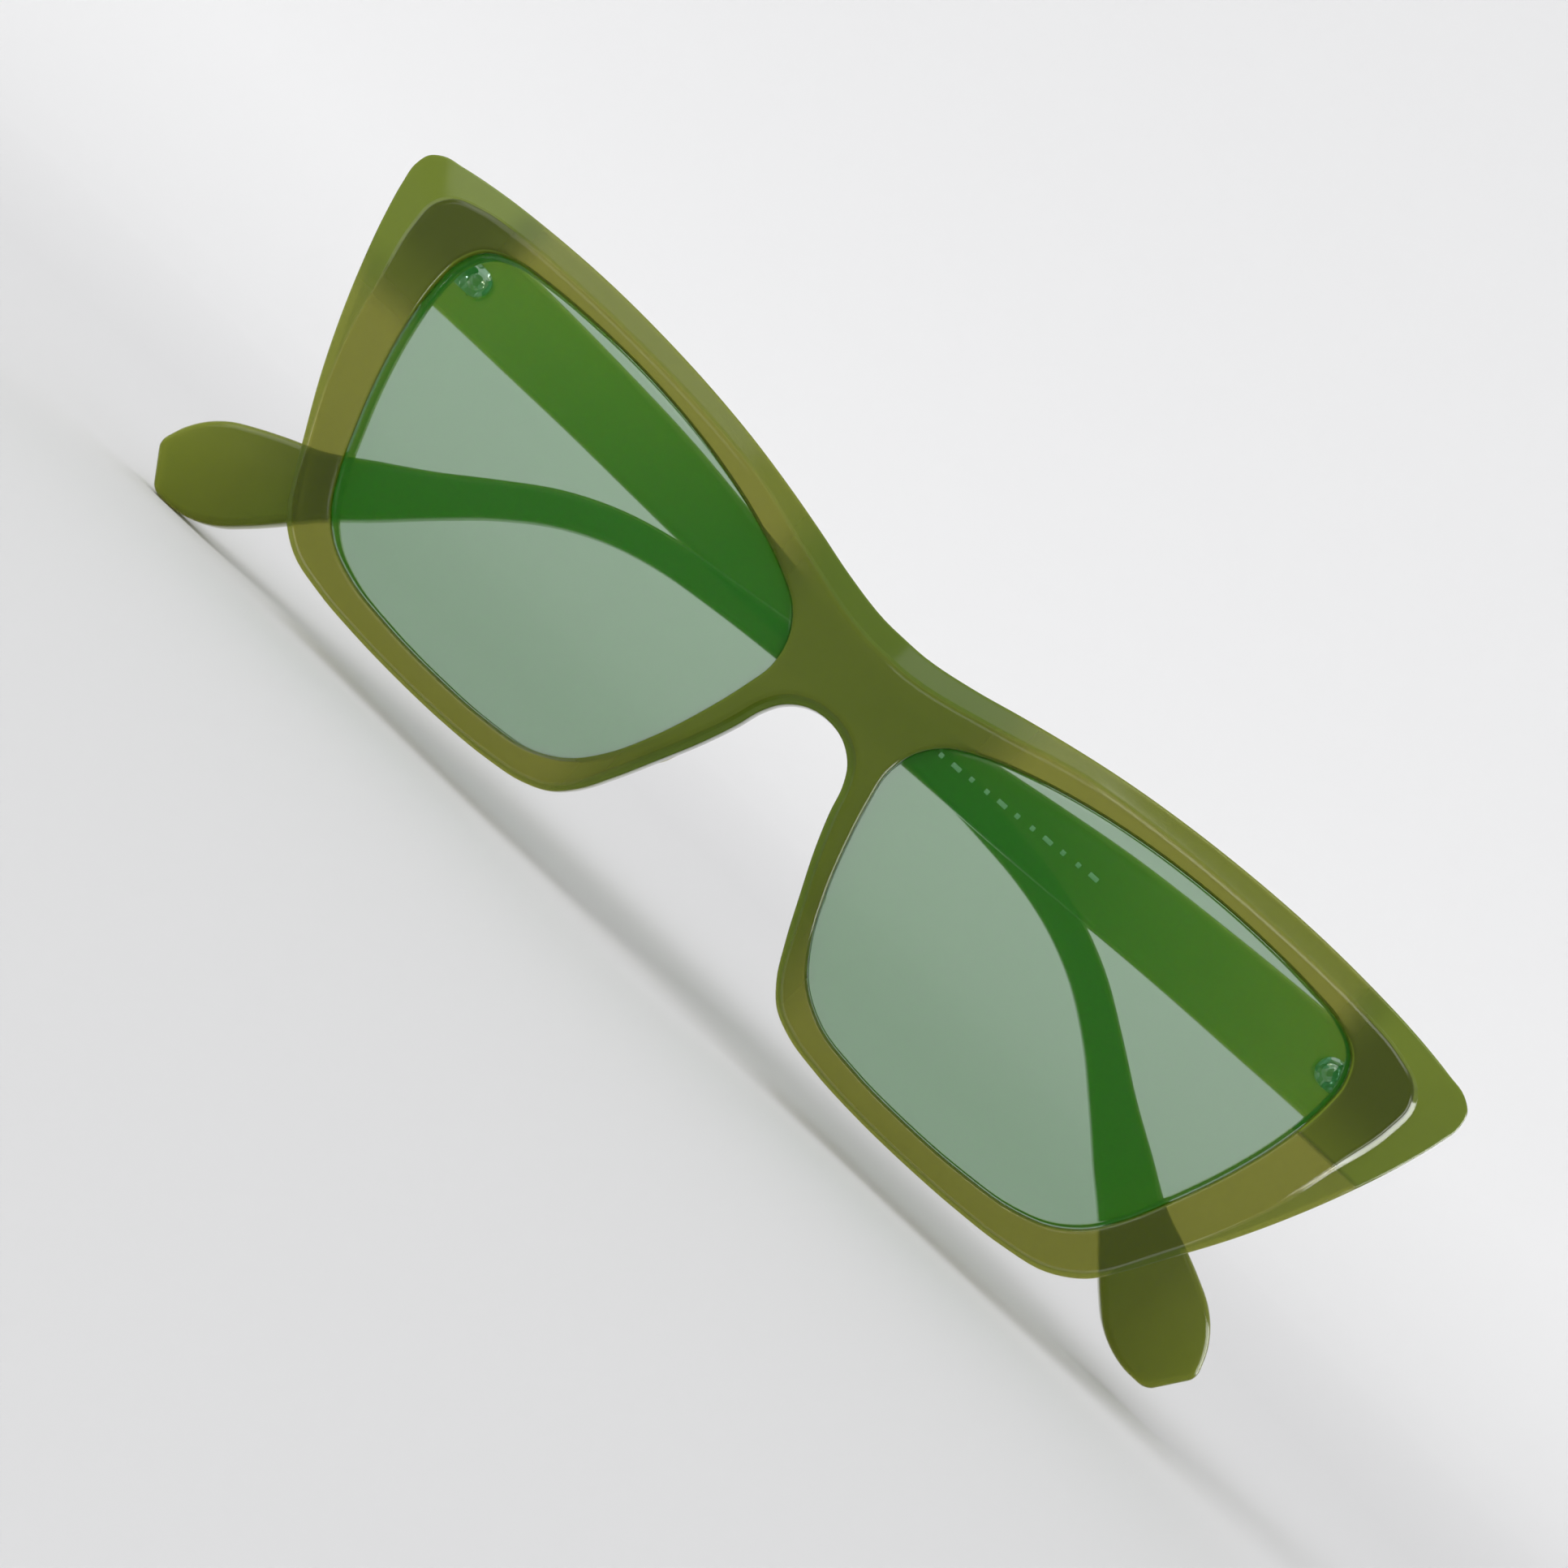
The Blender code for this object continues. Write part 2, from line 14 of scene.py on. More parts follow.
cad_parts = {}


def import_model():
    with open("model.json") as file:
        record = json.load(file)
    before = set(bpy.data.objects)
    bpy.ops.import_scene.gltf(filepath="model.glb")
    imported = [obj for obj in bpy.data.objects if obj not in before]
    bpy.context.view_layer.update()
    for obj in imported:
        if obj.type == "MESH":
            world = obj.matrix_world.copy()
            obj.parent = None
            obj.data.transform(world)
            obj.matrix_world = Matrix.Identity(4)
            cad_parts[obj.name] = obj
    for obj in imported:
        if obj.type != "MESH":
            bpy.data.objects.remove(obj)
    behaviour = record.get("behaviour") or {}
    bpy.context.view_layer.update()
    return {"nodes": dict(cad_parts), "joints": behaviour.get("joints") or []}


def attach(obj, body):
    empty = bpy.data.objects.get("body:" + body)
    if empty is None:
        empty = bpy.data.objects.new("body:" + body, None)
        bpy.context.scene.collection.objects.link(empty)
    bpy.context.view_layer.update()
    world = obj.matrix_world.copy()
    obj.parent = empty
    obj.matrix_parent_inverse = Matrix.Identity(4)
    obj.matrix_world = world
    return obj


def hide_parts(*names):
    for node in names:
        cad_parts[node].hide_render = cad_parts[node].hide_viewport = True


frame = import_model()
JOINTS = {j["name"]: j for j in frame["joints"]}

MM = 0.001

# ---- driving dimensions, millimetres -------------------------------------------------------
WRAP = 0.09            # each half of the front runs back by this much per millimetre sideways
WRAP_SOFT = 3.0        # half width over which the two halves flow into each other
FACE_Y = -2.0          # front face of the raised inner band
BAND_Y = -1.35         # outer band where it meets the step
BAND_SLOPE = 0.13      # the outer band falls back towards the edge
BROW = 0.1             # how far the raised band is rounded down towards the step
BACK_Y = 2.0           # rear face of the front
HINGE_X = 61.6         # hinge axis, sideways
HINGE_Z = 13.5         # middle of the hinge barrel
HINGE_BACK = 1.8       # hinge axis behind the rear face of the front
AXIS_Y = BACK_Y + WRAP * HINGE_X + HINGE_BACK
TEMPLE_IN = 1.75       # inner face of a temple, measured from the hinge axis
TEMPLE_T = 3.5         # temple thickness
TEMPLE_EDGE = 0.9      # rounding of the temple's long edges
DROOP = 0.6            # degrees by which the left temple hangs lower and the right one higher
LEAF_R = 1.6           # radius of the round end of the temple's hinge leaf
LEAF_END = 3.4         # centre of that round end along the temple
PLATE_T = 0.7          # thickness of both hinge leaves
PLATE_IN = 60.0        # inner end of the front's hinge plate
PLATE_OUT = 66.4       # outer end of the front's hinge plate
PLATE_HALF = 3.0       # half height of the front's hinge plate
RIVET_X = 65.0         # the front's two rivets, sideways
RIVET_Z = 1.7          # the front's two rivets, above and below the hinge's middle
HOLE_R = 0.8           # rivet hole
FIT = 0.2              # free space around every part let into the acetate
GROOVE_HALF = 1.0      # half width of the lens groove
GROOVE_DEEP = 0.3      # depth of the lens groove
LENS_BITE = 0.22       # how far a lens reaches into the groove
LENS_GAP = 0.04        # free space between a lens and the opening, in front of the groove
LENS_FRONT = -1.3      # front edge of a lens
LENS_BACK = 0.1        # rear edge of a lens
LENS_SAG = 0.9         # how far the middle of a lens stands in front of its edge
CORNER_X = 55.5        # the wings' corners, with painted shade, begin here, sideways
CORNER_END = 72.0      # and end here
CORNER_Z = 7.0         # and are above this height
CORNER_IN_SOFT = 3.0   # half width of the corner's fade towards the bridge
CORNER_OUT_SOFT = 1.2  # half width of its fade at the wing's end
CORNER_CLEAN = 0.35    # half width of its lower edge on the wearer's left, as in the photo
CORNER_HAZY = 3.5      # and on the wearer's right, where the photo shows a gradual change
CORNER_FADE = (-2.0, 7.0)   # heights, from CORNER_Z, between which the corner's painted shade deepens
MIDDLE_X = 13.0        # half width of the dense part around the bridge
MIDDLE_SOFT = 5.0      # half width of its fade
EDGE_NARROW = 0.25     # rounding of the front's outer edge at the top
EDGE_MORE = 0.35       # how much rounder it is at the bottom
EDGE_BACK = 0.6        # rounding of the front's rear edge
FOOT = 0.34            # how far the step's foot reaches out
FOOT_WING = 0.3        # how much further it reaches on the side of a wing
STEP_TOP = 0.12        # how far inside the plateau's outline the step ends
OPENING_LIP = 0.4      # rounding of the openings' edges
LENS_SOFT = 0.12       # rounding of a lens's edges

LEFT_HINGE = Vector(JOINTS["left_temple_hinge"]["pos_m"])
ORIGIN = Vector((0.0, LEFT_HINGE.y - AXIS_Y * MM, LEFT_HINGE.z - HINGE_Z * MM))
TURN = {1: JOINTS["left_temple_hinge"]["range_deg"][1], -1: JOINTS["right_temple_hinge"]["range_deg"][1]}

# outer outline of the +X half, from the top of the bridge round to the nose arch
OUTLINE = [(-2.6, 15.42), (2.6, 15.42), (8, 16.33), (13, 17.55), (18.3, 18.73), (24, 19.8),
           (30.3, 20.67), (37.8, 21.35), (46.5, 21.7), (54, 21.55), (60, 21.15), (65, 20.5),
           (67.4, 20.05), (68.7, 19.1), (69.1, 17.5), (68.7, 15.2), (67.9, 12.3), (65.5, 5.6),
           (63.05, 0), (60.7, -4.7), (57.6, -10.1), (55.3, -14.0), (53.4, -16.7), (50.2, -18.85),
           (45.5, -19.9), (40, -20.4), (34, -20.6), (27, -20.5), (21.5, -20.05), (17.5, -19.3),
           (14.9, -18.1), (13.1, -16.2), (11.3, -13.1), (9.3, -9.0), (7.3, -4.7), (6.0, -1.3),
           (5.2, 1.3), (4.2, 3.0), (2.2, 4.45), (-2.2, 4.45), (-4.2, 3.0)]

# raised inner band of the +X half
PLATEAU = [(-2.6, 12.95), (2.6, 12.95), (12, 14.9), (21, 17.3), (30, 18.5), (39, 19.1),
           (48, 19.3), (55, 19.1), (60, 18.5), (62.9, 17.4), (64.1, 15.6), (64.1, 13.0),
           (63.0, 7.7), (61.3, 0.6), (59.0, -5.2), (56.3, -10.4), (52.7, -16.1), (49.8, -18.1),
           (45.3, -19.2), (40, -19.7), (34, -19.9), (27, -19.8), (21.7, -19.35), (17.9, -18.6),
           (15.5, -17.6), (13.7, -15.8), (12.0, -12.8), (10.0, -8.7), (8.0, -4.3), (6.7, -0.9),
           (5.8, 1.9), (4.6, 3.8), (2.2, 5.25), (-2.2, 5.25), (-4.6, 3.8)]

# lens opening of the +X half
OPENING = [(58.4, 10.4), (58.2, 13.2), (56.9, 15.6), (54.3, 16.9), (50, 17.45), (44.2, 17.65),
           (37, 17.45), (30, 16.75), (24, 15.7), (17.6, 14.0), (12.6, 12.1), (9.9, 10.5),
           (8.1, 8.1), (7.45, 5.0), (8.0, 2.0), (9.2, -2.3), (11.2, -7.7), (13.2, -11.6),
           (15.7, -14.6), (19.4, -16.6), (24, -17.35), (31, -17.65), (38, -17.4), (44, -16.6),
           (47.5, -15.3), (50.2, -13.1), (52.1, -10.2), (54.1, -5.8), (56.3, 0), (57.7, 5.2)]

# temple centre line: distance from the hinge axis, height, half height of the temple there
TEMPLE = [(-1.0, 13.3, 4.65), (4, 13.3, 4.65), (10.5, 13.15, 4.6), (20.5, 12.8, 4.4),
          (31, 12.2, 4.15), (41, 11.35, 3.6), (51, 10.5, 2.9), (61.5, 9.6, 2.35), (71.5, 8.8, 1.98),
          (79.5, 8.0, 1.82), (85.7, 7.2, 1.8), (91.3, 5.8, 1.83), (96.8, 3.4, 1.88),
          (102.4, -0.35, 2.0), (107.5, -4.4, 2.4), (112, -7.9, 3.0), (116.6, -11.4, 3.55)]
PADDLE_ANGLE = -35.0   # direction of the ear end
PADDLE = [(3.9, 4.45), (7.1, 5.05), (9.8, 5.35), (12.0, 5.1), (14.3, 4.25), (15.9, 3.2)]
TIP_ROUND = 0.8        # rounding of the ear end's edge

# nose pad behind the nasal side of the +X rim
PAD_OUTLINE = [(6.2, 2.2), (7.3, 2.9), (8.0, 1.6), (8.7, -1.8), (10.3, -6.0), (11.5, -8.8),
               (11.2, -10.1), (10.0, -9.6), (8.4, -6.6), (6.9, -2.9), (6.1, 0.2)]
PAD_FRONT = 2.15       # nose pad, front side
PAD_BACK = 5.4         # nose pad, rear side


# ---- small helpers -------------------------------------------------------------------------
def smooth_path(points, parts, closed):
    """Points on a smooth curve through the given ones, with tangents weighted by chord length."""
    pts = [Vector(p) for p in points]
    count = len(pts)
    spans = count if closed else count - 1
    gap = [max((pts[(i + 1) % count] - pts[i]).length, 1e-9) for i in range(spans)]

    def tangent(i):
        if not closed and i == 0:
            return (pts[1] - pts[0]) / gap[0]
        if not closed and i == count - 1:
            return (pts[i] - pts[i - 1]) / gap[i - 1]
        before, after = gap[i - 1], gap[i % spans]
        a, b, c = pts[i - 1], pts[i], pts[(i + 1) % count]
        return ((b - a) / before * after + (c - b) / after * before) / (before + after)

    out = []
    for i in range(spans):
        a, b = pts[i], pts[(i + 1) % count]
        ta, tb = tangent(i) * gap[i], tangent((i + 1) % count) * gap[i]
        for k in range(parts):
            t = k / parts
            out.append(a * (2 * t ** 3 - 3 * t ** 2 + 1) + ta * (t ** 3 - 2 * t ** 2 + t)
                       + b * (3 * t ** 2 - 2 * t ** 3) + tb * (t ** 3 - t ** 2))
    if not closed:
        out.append(pts[-1])
    return out


def both_halves(half):
    """A closed loop from a +X half that starts and ends past the middle."""
    right = [p for p in half if p.x > 0.05]
    return right + [Vector((-p.x, p.y)) for p in reversed(right)]


def area(loop):
    return 0.5 * sum(loop[i - 1].x * loop[i].y - loop[i].x * loop[i - 1].y for i in range(len(loop)))


def outward(loop):
    """Unit vectors that point out of the loop."""
    side = 1.0 if area(loop) > 0 else -1.0
    out = []
    for i in range(len(loop)):
        along = (loop[(i + 1) % len(loop)] - loop[i - 1]).normalized()
        out.append(side * Vector((along.y, -along.x)))
    return out


def grown(loop, distance):
    """The loop moved outwards by one distance, or by one distance for each point."""
    each = distance if isinstance(distance, list) else [distance] * len(loop)
    return [p + n * d for p, n, d in zip(loop, outward(loop), each)]


def gap_to(loop, other):
    """The distance from each point of a loop to another loop."""
    out = []
    for p in loop:
        best = 1e9
        for i in range(len(other)):
            a, b = other[i - 1], other[i]
            t = max(0.0, min(1.0, (p - a).dot(b - a) / max((b - a).length_squared, 1e-12)))
            best = min(best, (p - a - (b - a) * t).length)
        out.append(best)
    return out


def inside(p, loop):
    hit = False
    for i in range(len(loop)):
        a, b = loop[i - 1], loop[i]
        if (a.y > p.y) != (b.y > p.y) and p.x < (b.x - a.x) * (p.y - a.y) / (b.y - a.y) + a.x:
            hit = not hit
    return hit


def ease(t):
    t = max(0.0, min(1.0, t))
    return t * t * (3 - 2 * t)


def chamfer(t, soft=0.15):
    """From 0 to 1 along a straight slope whose two ends are rounded."""
    if t > 0.5:
        return 1 - chamfer(1 - t, soft)
    return (t * t / (2 * soft) if t < soft else t - soft / 2) / (1 - soft)


def wrapped(x, y):
    """Depth of a point of the front once the two halves lean back."""
    return y + WRAP * math.hypot(x, WRAP_SOFT)


def world(x, y, z):
    return ORIGIN + Vector((x, y, z)) * MM


def new_object(name, bm, smooth_angle=40.0):
    bmesh.ops.recalc_face_normals(bm, faces=bm.faces)
    mesh = bpy.data.meshes.new(name)
    bm.to_mesh(mesh)
    bm.free()
    obj = bpy.data.objects.new(name, mesh)
    bpy.context.scene.collection.objects.link(obj)
    mesh.shade_smooth()
    if smooth_angle:
        mesh.set_sharp_from_angle(angle=math.radians(smooth_angle))
    return obj


def baked(obj):
    bpy.context.view_layer.update()
    graph = bpy.context.evaluated_depsgraph_get()
    return bpy.data.meshes.new_from_object(obj.evaluated_get(graph))


def cut(obj, tool):
    step = obj.modifiers.new("cut", "BOOLEAN")
    step.operation = "DIFFERENCE"
    step.solver = "EXACT"
    step.object = tool
    mesh = baked(obj)
    obj.modifiers.clear()
    obj.data = mesh
    bpy.data.objects.remove(tool, do_unlink=True)
    return obj


def quads(bm, a, b):
    """Faces between two rings with the same number of points."""
    for i in range(len(a)):
        j = (i + 1) % len(a)
        bm.faces.new((a[i], a[j], b[j], b[i]))


class Sheet:
    """A mesh made of rings of points in the plane of the front, with a depth for each point."""

    def __init__(self):
        self.bm = bmesh.new()
        self.flat = {}

    def ring(self, loop, depth):
        each = depth if isinstance(depth, list) else [depth] * len(loop)
        verts = []
        for p, y in zip(loop, each):
            vert = self.bm.verts.new(world(p.x, wrapped(p.x, y), p.y))
            self.flat[vert] = Vector((p.x, p.y))
            verts.append(vert)
        return verts

    def stack(self, rings):
        for a, b in zip(rings, rings[1:]):
            quads(self.bm, a, b)

    def fill(self, outer, holes, depth, points=()):
        """Triangles between an outer ring and the rings inside it, through extra points."""
        rings = [outer] + holes
        verts = [v for r in rings for v in r]
        loops = [[self.flat[v] for v in r] for r in rings]
        edges, start = [], 0
        for r in rings:
            edges += [(start + i, start + (i + 1) % len(r)) for i in range(len(r))]
            start += len(r)
        for p in points:
            clear = min(min((p - q).length for q in loop) for loop in loops)
            if clear > 0.35 and inside(p, loops[0]) and not any(inside(p, h) for h in loops[1:]):
                verts += self.ring([p], depth)
        flat = [self.flat[v] for v in verts]
        co, _, faces, origin, _, _ = delaunay_2d_cdt(flat, edges, [], 0, 1e-6)
        for face in faces:
            mid = sum((co[i] for i in face), Vector((0, 0))) / len(face)
            if inside(mid, loops[0]) and not any(inside(mid, h) for h in loops[1:]):
                self.bm.faces.new([verts[origin[i][0]] for i in face])


def arc(steps):
    return [math.radians(90 * k / steps) for k in range(steps + 1)]


# ---- front ---------------------------------------------------------------------------------
LOOP_PARTS = 5
outer_loop = both_halves(smooth_path(OUTLINE, LOOP_PARTS, False))
plateau_loop = both_halves(smooth_path(PLATEAU, LOOP_PARTS, False))
opening_right = smooth_path(OPENING, LOOP_PARTS, True)
opening_left = [Vector((-p.x, p.y)) for p in opening_right]


def wing_side(p):
    """1 on the outer side of a wing, where the step is wider, and 0 elsewhere."""
    return ease((abs(p.x) - 57.0) / 4.0) * ease((p.y - 5.0) / 5.0) * ease((18.4 - p.y) / 2.0)


def front_mesh():
    sheet = Sheet()
    room = gap_to(outer_loop, plateau_loop)
    edge_r = [min(EDGE_NARROW + EDGE_MORE * ease(-n.y), 0.55 * w)
              for w, n in zip(room, outward(outer_loop))]
    edge_y = [BAND_Y + BAND_SLOPE * w for w in room]

    rings = [sheet.ring(grown(outer_loop, -1.0), BACK_Y)]
    for a in arc(5):
        rings.append(sheet.ring(grown(outer_loop, EDGE_BACK * (math.sin(a) - 1)),
                                BACK_Y - EDGE_BACK * (1 - math.cos(a))))
    for a in arc(5):
        rings.append(sheet.ring(grown(outer_loop, [r * (math.cos(a) - 1) for r in edge_r]),
                                [y + r * (1 - math.sin(a)) for r, y in zip(edge_r, edge_y)]))
    back_outer, band_outer = rings[0], rings[-1]
    sheet.stack(rings)

    # the step: a straight slope with soft ends, from the band up to the plateau
    room = gap_to(plateau_loop, outer_loop)
    foot = [min(FOOT, 0.36 * w) + FOOT_WING * wing_side(p) for p, w in zip(plateau_loop, room)]
    rings = []
    for t in (0, 0.05, 0.1, 0.15, 0.38, 0.62, 0.85, 0.9, 0.95, 1):
        rings.append(sheet.ring(grown(plateau_loop, [f * (1 - t) - STEP_TOP * t for f in foot]),
                                BAND_Y + (FACE_Y + BROW - BAND_Y) * chamfer(t)))
    for t in (0.2, 0.4, 0.6, 0.8, 1):
        rings.append(sheet.ring(grown(plateau_loop, -STEP_TOP - 0.5 * t),
                                FACE_Y + BROW * (1 - t) ** 2))
    rings.append(sheet.ring(grown(plateau_loop, -0.8), FACE_Y))
    band_inner, face_outer = rings[0], rings[-1]
    sheet.stack(rings)
    sheet.fill(band_outer, [band_inner], BAND_Y)

    # the two openings, with the groove that holds the lens
    face_holes, back_holes = [], []
    lip = OPENING_LIP
    for loop in (opening_right, opening_left):
        rings = [sheet.ring(grown(loop, lip + 0.2), FACE_Y)]
        for a in arc(5):
            rings.append(sheet.ring(grown(loop, lip * (1 - math.sin(a))),
                                    FACE_Y + lip * (1 - math.cos(a))))
        for out, y in ((0, -GROOVE_HALF), (GROOVE_DEEP, -GROOVE_HALF),
                       (GROOVE_DEEP, GROOVE_HALF), (0, GROOVE_HALF)):
            rings.append(sheet.ring(grown(loop, out), y))
        for a in arc(5):
            rings.append(sheet.ring(grown(loop, lip * (1 - math.cos(a))),
                                    BACK_Y - lip * (1 - math.sin(a))))
        rings.append(sheet.ring(grown(loop, lip + 0.2), BACK_Y))
        face_holes.append(rings[0])
        back_holes.append(rings[-1])
        sheet.stack(rings)

    grid = [Vector((x * 1.5, z * 1.5)) for x in range(-46, 47) for z in range(-14, 15)]
    sheet.fill(face_outer, face_holes, FACE_Y, grid)
    sheet.fill(back_outer, back_holes, BACK_Y, grid)
    return sheet.bm


def block(lo, hi):
    bm = bmesh.new()
    bmesh.ops.create_cube(bm, size=1.0)
    for v in bm.verts:
        v.co = Vector([(a + b) / 2 + c * (b - a) for a, b, c in zip(lo, hi, v.co)])
    return new_object("tool", bm, 0)


def lean(obj):
    """Leans a piece of the front back, and puts it in place."""
    for v in obj.data.vertices:
        v.co = world(v.co.x, v.co.y + WRAP * abs(v.co.x), v.co.z)
    return obj


def drill(start, end, radius, sides=32):
    """A round bar between two points."""
    a, b = Vector(start), Vector(end)
    bm = bmesh.new()
    bmesh.ops.create_cone(bm, cap_ends=True, segments=sides, radius1=radius, radius2=radius,
                          depth=(b - a).length)
    turn = (b - a).to_track_quat("Z", "Y").to_matrix().to_4x4()
    bmesh.ops.transform(bm, matrix=Matrix.Translation((a + b) / 2) @ turn, verts=bm.verts)
    return new_object("tool", bm, 30)


def make_front():
    front = new_object("acetate_front", front_mesh(), 50)
    for side in (1, -1):
        xs = sorted((side * (PLATE_IN - FIT), side * (PLATE_OUT + FIT)))
        cut(front, lean(block((xs[0], BACK_Y - PLATE_T - FIT, HINGE_Z - PLATE_HALF - FIT),
                              (xs[1], BACK_Y + 3.0, HINGE_Z + PLATE_HALF + FIT))))
        for height in (HINGE_Z + RIVET_Z, HINGE_Z - RIVET_Z):
            cut(front, lean(drill((side * RIVET_X, BACK_Y - 2.9, height),
                                  (side * RIVET_X, BACK_Y + 1.0, height), HOLE_R)))
    front.data.shade_smooth()
    front.data.set_sharp_from_angle(angle=math.radians(50))
    raised = front.data.attributes.new("raised", "FLOAT", "POINT")
    for v, item in zip(front.data.vertices, raised.data):
        at = (v.co - ORIGIN) / MM
        item.value = 1.0 if wrapped(at.x, FACE_Y) + 0.15 > at.y else 0.0
    return front


def make_lens(name, side):
    """A crowned lens, nearly flush with the front, with a tongue that sits in the groove."""
    loop = opening_right
    middle = sum(loop, Vector((0, 0))) / len(loop)
    reach = max((p - middle).length for p in loop)
    levels = [0.97, 0.92, 0.85, 0.76, 0.66, 0.55, 0.43, 0.3, 0.15]
    soft = LENS_SOFT
    bm = bmesh.new()

    def point(p, y, crowned):
        crown = LENS_SAG * (1 - ((p - middle).length / reach) ** 2) if crowned else 0.0
        return bm.verts.new(world(side * p.x, wrapped(p.x, y - crown), p.y))

    def disc(y, edge):
        rings = [[point(middle + (p - middle) * level, y, True) for p in edge] for level in levels]
        return rings, point(middle, y, True)

    edge = grown(loop, -LENS_GAP)
    front_rings, front_mid = disc(LENS_FRONT, edge)
    back_rings, back_mid = disc(LENS_BACK, edge)
    wall = []
    for a in arc(3):
        wall.append([point(p, LENS_FRONT + soft * (1 - math.cos(a)), True)
                     for p in grown(edge, soft * (math.sin(a) - 1))])
    for out, y in ((-LENS_GAP, -0.85), (LENS_BITE - 0.1, -0.75), (LENS_BITE, -0.65),
                   (LENS_BITE, -0.35), (LENS_BITE - 0.1, -0.25), (-LENS_GAP, -0.15)):
        wall.append([point(p, y, False) for p in grown(loop, out)])
    wall.append([point(p, LENS_BACK, True) for p in grown(edge, -soft)])
    chain = list(reversed(front_rings)) + wall + back_rings
    for a, b in zip(chain, chain[1:]):
        quads(bm, a, b)
    for last, mid in ((front_rings[-1], front_mid), (back_rings[-1], back_mid)):
        for i in range(len(last)):
            bm.faces.new((last[i], last[(i + 1) % len(last)], mid))
    return new_object(name, bm, 35)


def make_pad(name, side):
    """A pillow with a full round back, glued behind the rim."""
    loop = smooth_path(PAD_OUTLINE, 6, True)
    middle = sum(loop, Vector((0, 0))) / len(loop)
    thick = PAD_BACK - PAD_FRONT
    bm = bmesh.new()
    rings = []
    for level, depth in [(0.7, 0.0), (0.93, 0.02), (1.0, 0.12)] + [
            (math.cos(a) * 0.999, 0.12 + 0.88 * math.sin(a) ** 0.8) for a in arc(9)[1:-1]]:
        ring = []
        for p in loop:
            q = middle + (p - middle) * level
            x = side * q.x
            ring.append(bm.verts.new(world(x, PAD_FRONT + thick * depth + WRAP * abs(x), q.y)))
        rings.append(ring)
    for a, b in zip(rings, rings[1:]):
        quads(bm, a, b)
    bm.faces.new(rings[0])
    top = bm.verts.new(world(side * middle.x, PAD_BACK + WRAP * abs(middle.x), middle.y))
    for i in range(len(rings[-1])):
        bm.faces.new((rings[-1][i], rings[-1][(i + 1) % len(loop)], top))
    return new_object(name, bm, 60)


# ---- temples -------------------------------------------------------------------------------
def hinge_matrix(side):
    """From hinge coordinates of the open temple, in millimetres, to the folded frame."""
    turn = math.radians(side * TURN[side])
    return (Matrix.Translation((side * LEFT_HINGE.x, LEFT_HINGE.y, LEFT_HINGE.z))
            @ Matrix.Rotation(turn, 4, "Z") @ Matrix.Scale(MM, 4))


def temple_stations(droop, parts):
    """Centre, direction and half height of each section, relative to the hinge axis."""
    line = [Vector((s, z - HINGE_Z, h)) for s, z, h in TEMPLE]
    last = line[-1]
    ahead = Vector((math.cos(math.radians(PADDLE_ANGLE)), math.sin(math.radians(PADDLE_ANGLE)), 0))
    for reach, half in PADDLE:
        line.append(Vector((last.x, last.y, 0)) + ahead * reach + Vector((0, 0, half)))
    path = smooth_path(line, parts, False)
    turn = Matrix.Rotation(math.radians(droop), 3, "Z")
    out = []
    for i, p in enumerate(path):
        a, b = path[max(i - 1, 0)], path[min(i + 1, len(path) - 1)]
        way = Vector((b.x - a.x, b.y - a.y, 0)).normalized()
        out.append((turn @ Vector((p.x, p.y, 0)), turn @ way, p.z))
    return out


def section(half_height, half_thickness, radius, steps):
    """Rounded rectangle, as pairs of thickness and height offsets."""
    pts = []
    for cx, cz, start in ((1, 1, 0), (-1, 1, 90), (-1, -1, 180), (1, -1, 270)):
        for k in range(steps + 1):
            a = math.radians(start + 90 * k / steps)
            pts.append((cx * (half_thickness - radius) + radius * math.cos(a),
                        cz * (half_height - radius) + radius * math.sin(a)))
    return pts


def make_temple(name, side):
    bm = bmesh.new()
    rings = []
    stations = [(mid, way, half, 0.0)
                for mid, way, half in temple_stations(-DROOP if side > 0 else DROOP, 5)]
    mid, way, half, _ = stations[-1]
    for a in arc(5)[1:]:
        stations.append((mid + way * TIP_ROUND * math.sin(a), way, half - 0.7 * TIP_ROUND * math.sin(a),
                         TIP_ROUND * (1 - math.cos(a))))
    for mid, way, half, shrink in stations:
        up = Vector((-way.y, way.x, 0))
        ring = []
        for t, h in section(half - shrink, TEMPLE_T / 2 - shrink, TEMPLE_EDGE - shrink, 5):
            at = mid + up * h
            ring.append(bm.verts.new((side * (TEMPLE_IN + TEMPLE_T / 2 + t), at.x, at.y)))
        rings.append(ring)
    for a, b in zip(rings, rings[1:]):
        quads(bm, a, b)
    bm.faces.new(rings[0])
    bm.faces.new(rings[-1])
    obj = new_object(name, bm, 40)
    deep = TEMPLE_IN + PLATE_T + FIT
    xs = sorted((side * (TEMPLE_IN - 2), side * deep))
    radius = LEAF_R + FIT
    cut(obj, block((xs[0], -3.0, -radius), (xs[1], LEAF_END, radius)))
    cut(obj, drill((xs[0], LEAF_END, 0), (xs[1], LEAF_END, 0), radius, sides=64))
    cut(obj, drill((0, LEAF_END, 0), (side * (TEMPLE_IN + 2.9), LEAF_END, 0), HOLE_R))
    obj.data.shade_smooth()
    obj.data.set_sharp_from_angle(angle=math.radians(40))
    along = obj.data.attributes.new("along", "FLOAT", "POINT")
    reach = max(v.co.y for v in obj.data.vertices)
    for v, item in zip(obj.data.vertices, along.data):
        item.value = max(0.0, v.co.y / reach)
    obj.data.transform(hinge_matrix(side))
    return obj


